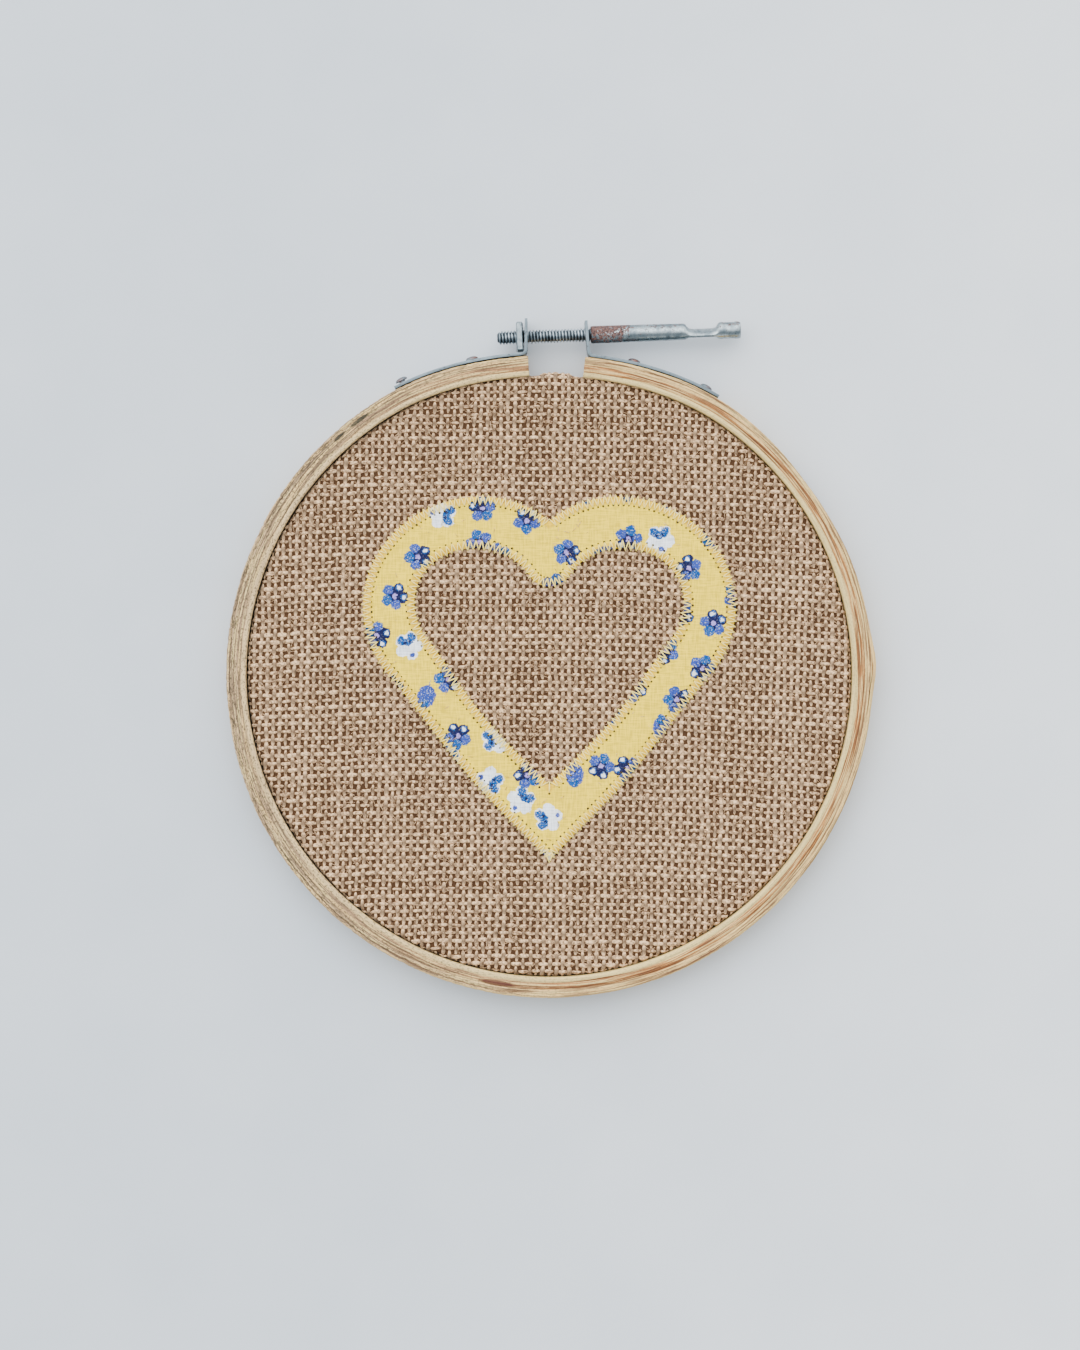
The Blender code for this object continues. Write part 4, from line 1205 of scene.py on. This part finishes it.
def zinc_plate(name, steel, tint, rough, rusty=False, threaded=False):
    """Mild steel with thin zinc plate, some years old: blue-grey, half dull, cloudy, fine scuffs that
    catch the light, dirt between the threads, and rust where the plate has gone."""
    material, tree = new_material(name)
    place = object_place(tree)
    cloudy = noise(tree, place, 420.0, 5.0, 0.65)
    specks = noise(tree, place, 1500.0)
    shade = mix(tree, remap(tree, cloudy, 0.38, 0.62), steel.dull_zinc, tint)
    gloss = remap(tree, cloudy, 0.3, 0.7, rough + 0.12, rough - 0.1)
    metal = 1.0
    on_axis = add_node(tree, "ShaderNodeVectorRotate", {
        "Vector": place, "Center": tuple(SCREW_MIDDLE),
        "Angle": -math.atan2(SCREW_LINE.y, SCREW_LINE.x)}, rotation_type="Z_AXIS")
    on_axis = calc_vector(tree, "SUBTRACT", on_axis, tuple(SCREW_MIDDLE))
    hollow = remap(tree, specks, 0.62, 0.75, 0.0, 0.7)
    if threaded:
        out = size_of(tree, calc_vector(tree, "MULTIPLY", on_axis, (0.0, 1.0, 1.0)))
        hollow = remap(tree, out, steel.crest_radius - 0.2 * MM, steel.root_radius + 0.04 * MM, 0.0, 0.85)
    shade = mix(tree, hollow, shade, steel.grime)
    if rusty:
        along, aside, _ = parts_of(tree, on_axis)
        fade = remap(tree, along, GRIP_START + 7.6 * MM, GRIP_START + 10.4 * MM, 0.09, -0.1)
        fade = calc(tree, "MULTIPLY_ADD", aside, 38.0, fade)
        eaten = remap(tree, calc(tree, "ADD", noise(tree, place, 1300.0, 5.0, 0.7), fade), 0.5, 0.55)
        bitten = remap(tree, noise(tree, place, 2400.0, 3.0), 0.4, 0.6)
        shade = mix(tree, eaten, shade, mix(tree, bitten, steel.dark_rust, steel.rust))
        gloss = add_node(tree, "ShaderNodeMix", {0: eaten, 2: gloss, 3: 0.85})
        metal = remap(tree, eaten, 0.0, 1.0, 1.0, 0.15)
    return finish_material(material, shade, specks, 0.3, 0.05 * MM, Roughness=gloss, Metallic=metal)


def dressed_copy(node, name, material, bevel):
    """Refined copy of a CAD node: merged, its flat faces whole again, its edges softly broken."""
    mesh = frame["nodes"][node].data.copy()
    shape = bmesh.new()
    shape.from_mesh(mesh)
    bmesh.ops.remove_doubles(shape, verts=shape.verts, dist=0.005 * MM)
    bmesh.ops.dissolve_limit(shape, angle_limit=math.radians(0.5), verts=shape.verts, edges=shape.edges)
    bmesh.ops.recalc_face_normals(shape, faces=shape.faces)
    shape.to_mesh(mesh)
    shape.free()
    mesh.materials.clear()
    mesh.materials.append(material)
    holder = hold(name + "_holder", mesh)
    edge = holder.modifiers.new("broken_edges", "BEVEL")
    edge.width = bevel
    edge.segments = 2
    edge.limit_method = "ANGLE"
    edge.angle_limit = math.radians(45.0)
    finished = bake(holder, name, False)
    finished.shade_smooth()
    finished.set_sharp_from_angle(angle=math.radians(32.0))
    return add_piece(name, finished, "hoop", [node])


def rivets_tree():
    """Domed rivet heads with shanks, one on each point, turned away from the hoop's middle."""
    tree, given = new_tree("rivets", ("Head Radius", "Head Height", "Shank Radius", "Shank Length"))
    x, y, z = parts_of(tree, geo(tree, "InputPosition"))
    dome = point(tree, x, y, calc(tree, "POWER", calc(tree, "MAXIMUM", z, 0.0), 0.8))
    ball = geo(tree, "MeshUVSphere", Segments=28, Rings=14, Radius=1.0)
    ball = geo(tree, "SetPosition", Geometry=ball, Position=dome)
    ball = geo(tree, "Transform", Geometry=ball,
               Scale=point(tree, given["Head Radius"], given["Head Radius"], given["Head Height"]))
    shank = geo(tree, "MeshCylinder", Vertices=20, Radius=given["Shank Radius"], Depth=given["Shank Length"])
    shank = geo(tree, "Transform", Geometry=shank,
                Translation=point(tree, z=product(tree, given["Shank Length"], -0.5)))
    rivet = geo(tree, "JoinGeometry")
    for part in (ball, shank):
        tree.links.new(part.outputs[0], rivet.inputs[0])
    outward = calc_vector(tree, "SUBTRACT", geo(tree, "InputPosition"), tuple(MIDDLE))
    outward = calc_vector(tree, "MULTIPLY", outward, (1.0, 1.0, 0.0))
    turned = add_node(tree, "FunctionNodeAlignRotationToVector", {"Vector": outward}, axis="Z")
    rivets = geo(tree, "InstanceOnPoints", Points=given["Geometry"], Instance=rivet, Rotation=turned)
    return close_tree(tree, rivets, given)


class HOOPART_OT_make_straps(Operator):
    """Make the two steel straps, their rivets and the square nut."""

    bl_idname = "hoop_art.make_straps"
    bl_label = "Straps, rivets and nut"

    def execute(self, context):
        steel = context.scene.hoop_steel
        worn = zinc_plate("weathered_zinc", steel, steel.dull_zinc, 0.5)
        dressed_copy("tab_left", "strap_left", worn, 0.12 * MM)
        dressed_copy("tab_right", "strap_right", worn, 0.12 * MM)
        dressed_copy("square_nut", "nut", zinc_plate("zinc_plate", steel, steel.zinc, 0.36), 0.1 * MM)
        nodes = [name for name in frame["nodes"] if name.startswith("rivet")]
        head_height = 0.8 * MM
        tops = []
        for node in nodes:
            points = coordinates(frame["nodes"][node].data) - np.array(MIDDLE)
            radii = np.hypot(points[:, 0], points[:, 1])
            head = points[np.argmax(radii)]
            turn = math.degrees(math.atan2(head[0], head[1]))
            tops.append(on_hoop(turn, radii.max() - head_height, HOOP_DEPTH / 2.0))
        mesh = grow("rivets", rivets_tree(), {
            "Head Radius": 1.6 * MM, "Head Height": head_height, "Shank Radius": 0.8 * MM,
            "Shank Length": 4.4 * MM,
            "Material": zinc_plate("rivet_zinc", steel, steel.rust, 0.45)}, tops)
        mesh.set_sharp_from_angle(angle=math.radians(40.0))
        add_piece("rivets", mesh, "hoop", nodes)
        return {"FINISHED"}


def thread_tree():
    """Screw thread: a fine cylinder whose radius follows one helix, with a chamfered start."""
    tree, given = new_tree("screw_thread", ("Root Radius", "Crest Radius", "Pitch", "Length",
                                            "Chamfer Radius"), ("Rings",))
    bar = geo(tree, "MeshCylinder", Vertices=36, Side_Segments=given["Rings"], Radius=1.0,
              Depth=given["Length"])
    x, y, z = parts_of(tree, geo(tree, "InputPosition"))
    climb = calc(tree, "MULTIPLY_ADD", given["Length"], 0.5, z)
    turns = calc(tree, "DIVIDE", calc(tree, "ARCTAN2", y, x), TAU)
    phase = calc(tree, "SUBTRACT", calc(tree, "DIVIDE", climb, given["Pitch"]), turns)
    ridge = remap(tree, calc(tree, "PINGPONG", phase, 0.5), 0.05, 0.42, given["Root Radius"],
                  given["Crest Radius"])
    ridge = calc(tree, "MINIMUM", ridge, calc(tree, "ADD", climb, given["Chamfer Radius"]))
    shaped = calc_vector(tree, "MULTIPLY", geo(tree, "InputPosition"), point(tree, ridge, ridge, 1.0))
    return close_tree(tree, geo(tree, "SetPosition", Geometry=bar, Position=shaped), given)


class HOOPART_OT_make_screw(Operator):
    """Make the threaded rod and the grip tube that turn together."""

    bl_idname = "hoop_art.make_screw"
    bl_label = "Tension screw"

    def execute(self, context):
        steel = context.scene.hoop_steel
        rod_length = GRIP_START + 1.0 * MM - ROD_START
        mesh = grow("thread_rod", thread_tree(), {
            "Root Radius": steel.root_radius, "Crest Radius": steel.crest_radius, "Pitch": steel.pitch,
            "Length": rod_length, "Chamfer Radius": steel.root_radius - 0.3 * MM,
            "Rings": round(rod_length / steel.pitch * 10.0),
            "Material": zinc_plate("screw_zinc", steel, steel.screw, 0.3, threaded=True)})
        middle = SCREW_MIDDLE + SCREW_LINE * (ROD_START + rod_length / 2.0)
        mesh.transform(matrix_to(middle, SCREW_LINE))
        add_piece("thread_rod", mesh, "screw", ["screw_rod"])
        roll = math.radians(GRIP_FLAT_ROLL)
        sides = np.linspace(0.0, TAU, 48, endpoint=False)
        sections = np.array(GRIP_SECTIONS)
        rows = []
        for section, following in zip(sections, [*sections[1:], sections[-1]]):
            steps = max(1, round(abs(following[0] - section[0]) / GRIP_STEP))
            for step in range(steps):
                at, wide, thin = section + (following - section) * (step / steps)
                x = wide / 2.0 * np.cos(sides)
                y = thin / 2.0 * np.sin(sides) + NECK_SHIFT * (wide - thin)
                ring = (x * math.cos(roll) - y * math.sin(roll), x * math.sin(roll) + y * math.cos(roll))
                rows.append(np.stack([*ring, np.full_like(x, GRIP_START / MM + at)], -1) * MM)
        tube = zinc_plate("grip_zinc", steel, steel.zinc, 0.27, rusty=True)
        mesh = skin("grip", np.array(rows), tube, False, 42.0)
        mesh.transform(matrix_to(SCREW_MIDDLE, SCREW_LINE))
        add_piece("grip", mesh, "screw", ["grip_tube"])
        return {"FINISHED"}


def painted_board(stage):
    """Board painted matt, pale grey with a hint of blue, with the faint mottling of a roller, and painted
    light that makes it paler towards the right.
    """
    material, tree = new_material("painted_board", Roughness=0.85, Specular_IOR_Level=0.2)
    place = object_place(tree)
    mottle = noise(tree, place, 30.0, 3.0)
    # Painted light: the board is paler towards the right.
    paler = remap(tree, parts_of(tree, place)[0], -60.0 * MM, 140.0 * MM, 0.0, 0.85)
    mixed = calc(tree, "ADD", remap(tree, mottle, 0.3, 0.7, 0.0, 0.25), paler)
    return finish_material(material, mix(tree, mixed, stage.floor, stage.pale_floor_and_painted_light), mottle, 0.05, 1.0 * MM)


class HOOPART_OT_make_stage(Operator):
    """Set the camera, the floor and the light."""

    bl_idname = "hoop_art.make_stage"
    bl_label = "Stage"

    def execute(self, context):
        scene = context.scene
        stage = scene.hoop_stage
        camera = bpy.data.cameras.new("camera")
        camera.lens = stage.lens
        camera.sensor_width = 36.0
        camera.clip_start = 0.05
        away = stage.frame_high * stage.lens / camera.sensor_width
        eye = hold("camera", camera)
        eye.location = MIDDLE + CAMERA_ASIDE + Vector((0.0, 0.0, HOOP_DEPTH + away))
        scene.camera = eye
        mesh = bpy.data.meshes.new("floor")
        shape = bmesh.new()
        bmesh.ops.create_grid(shape, x_segments=4, y_segments=4, size=2.0)
        shape.to_mesh(mesh)
        shape.free()
        mesh.materials.append(painted_board(stage))
        hold("floor", mesh)
        lamp = bpy.data.lights.new("window", "AREA")
        lamp.shape = "DISK"
        lamp.size = 1.5
        lamp.energy = stage.key_power
        window = hold("window", lamp)
        window.location = WINDOW_PLACE
        window.rotation_euler = (MIDDLE - window.location).to_track_quat("-Z", "Y").to_euler()
        sky = bpy.data.worlds.new("sky")
        sky.use_nodes = True
        tree = sky.node_tree
        way = add_node(tree, "ShaderNodeTexCoord").outputs["Generated"]
        facing = calc_vector(tree, "DOT_PRODUCT", way, BRIGHT_SIDE).outputs["Value"]
        light = colour_ramp(tree, remap(tree, facing, -1.0, 1.0), (
            (0.1, stage.low_sky), (0.22, stage.dim_sky), (0.5, stage.dim_sky), (0.7, stage.sky)))
        set_inputs(tree, tree.nodes["Background"], {"Color": light, "Strength": stage.sky_strength})
        scene.world = sky
        return {"FINISHED"}


OPERATORS = (
    HOOPART_OT_make_stage,
    HOOPART_OT_make_hoops,
    HOOPART_OT_make_burlap,
    HOOPART_OT_make_heart,
    HOOPART_OT_make_straps,
    HOOPART_OT_make_screw,
)
GROUPS = {
    "hoop_wood": HOOPART_PG_wood,
    "hoop_burlap": HOOPART_PG_burlap,
    "hoop_cotton": HOOPART_PG_cotton,
    "hoop_steel": HOOPART_PG_steel,
    "hoop_stage": HOOPART_PG_stage,
}


class HOOPART_PT_panel(Panel):
    """Sizes, colours and buttons for every piece."""

    bl_label = "Hoop Art"
    bl_idname = "HOOPART_PT_panel"
    bl_space_type = "VIEW_3D"
    bl_region_type = "UI"
    bl_category = "Hoop Art"

    def draw(self, context):
        layout = self.layout
        for operator in OPERATORS:
            layout.operator(operator.bl_idname)
        for name in GROUPS:
            box = layout.box()
            group = getattr(context.scene, name)
            for key in group.__annotations__:
                box.prop(group, key)


CLASSES = (*GROUPS.values(), *OPERATORS, HOOPART_PT_panel)


def register():
    """Register the classes and hang the property groups on the scene."""
    for item in CLASSES:
        bpy.utils.register_class(item)
    for name, group in GROUPS.items():
        setattr(bpy.types.Scene, name, PointerProperty(type=group))


def unregister():
    """Undo register."""
    for name in GROUPS:
        delattr(bpy.types.Scene, name)
    for item in reversed(CLASSES):
        bpy.utils.unregister_class(item)


def main():
    """Make every piece in order."""
    register()
    bpy.ops.hoop_art.make_stage()
    bpy.ops.hoop_art.make_hoops()
    bpy.ops.hoop_art.make_burlap()
    bpy.ops.hoop_art.make_heart()
    bpy.ops.hoop_art.make_straps()
    bpy.ops.hoop_art.make_screw()


if __name__ == "__main__":
    main()
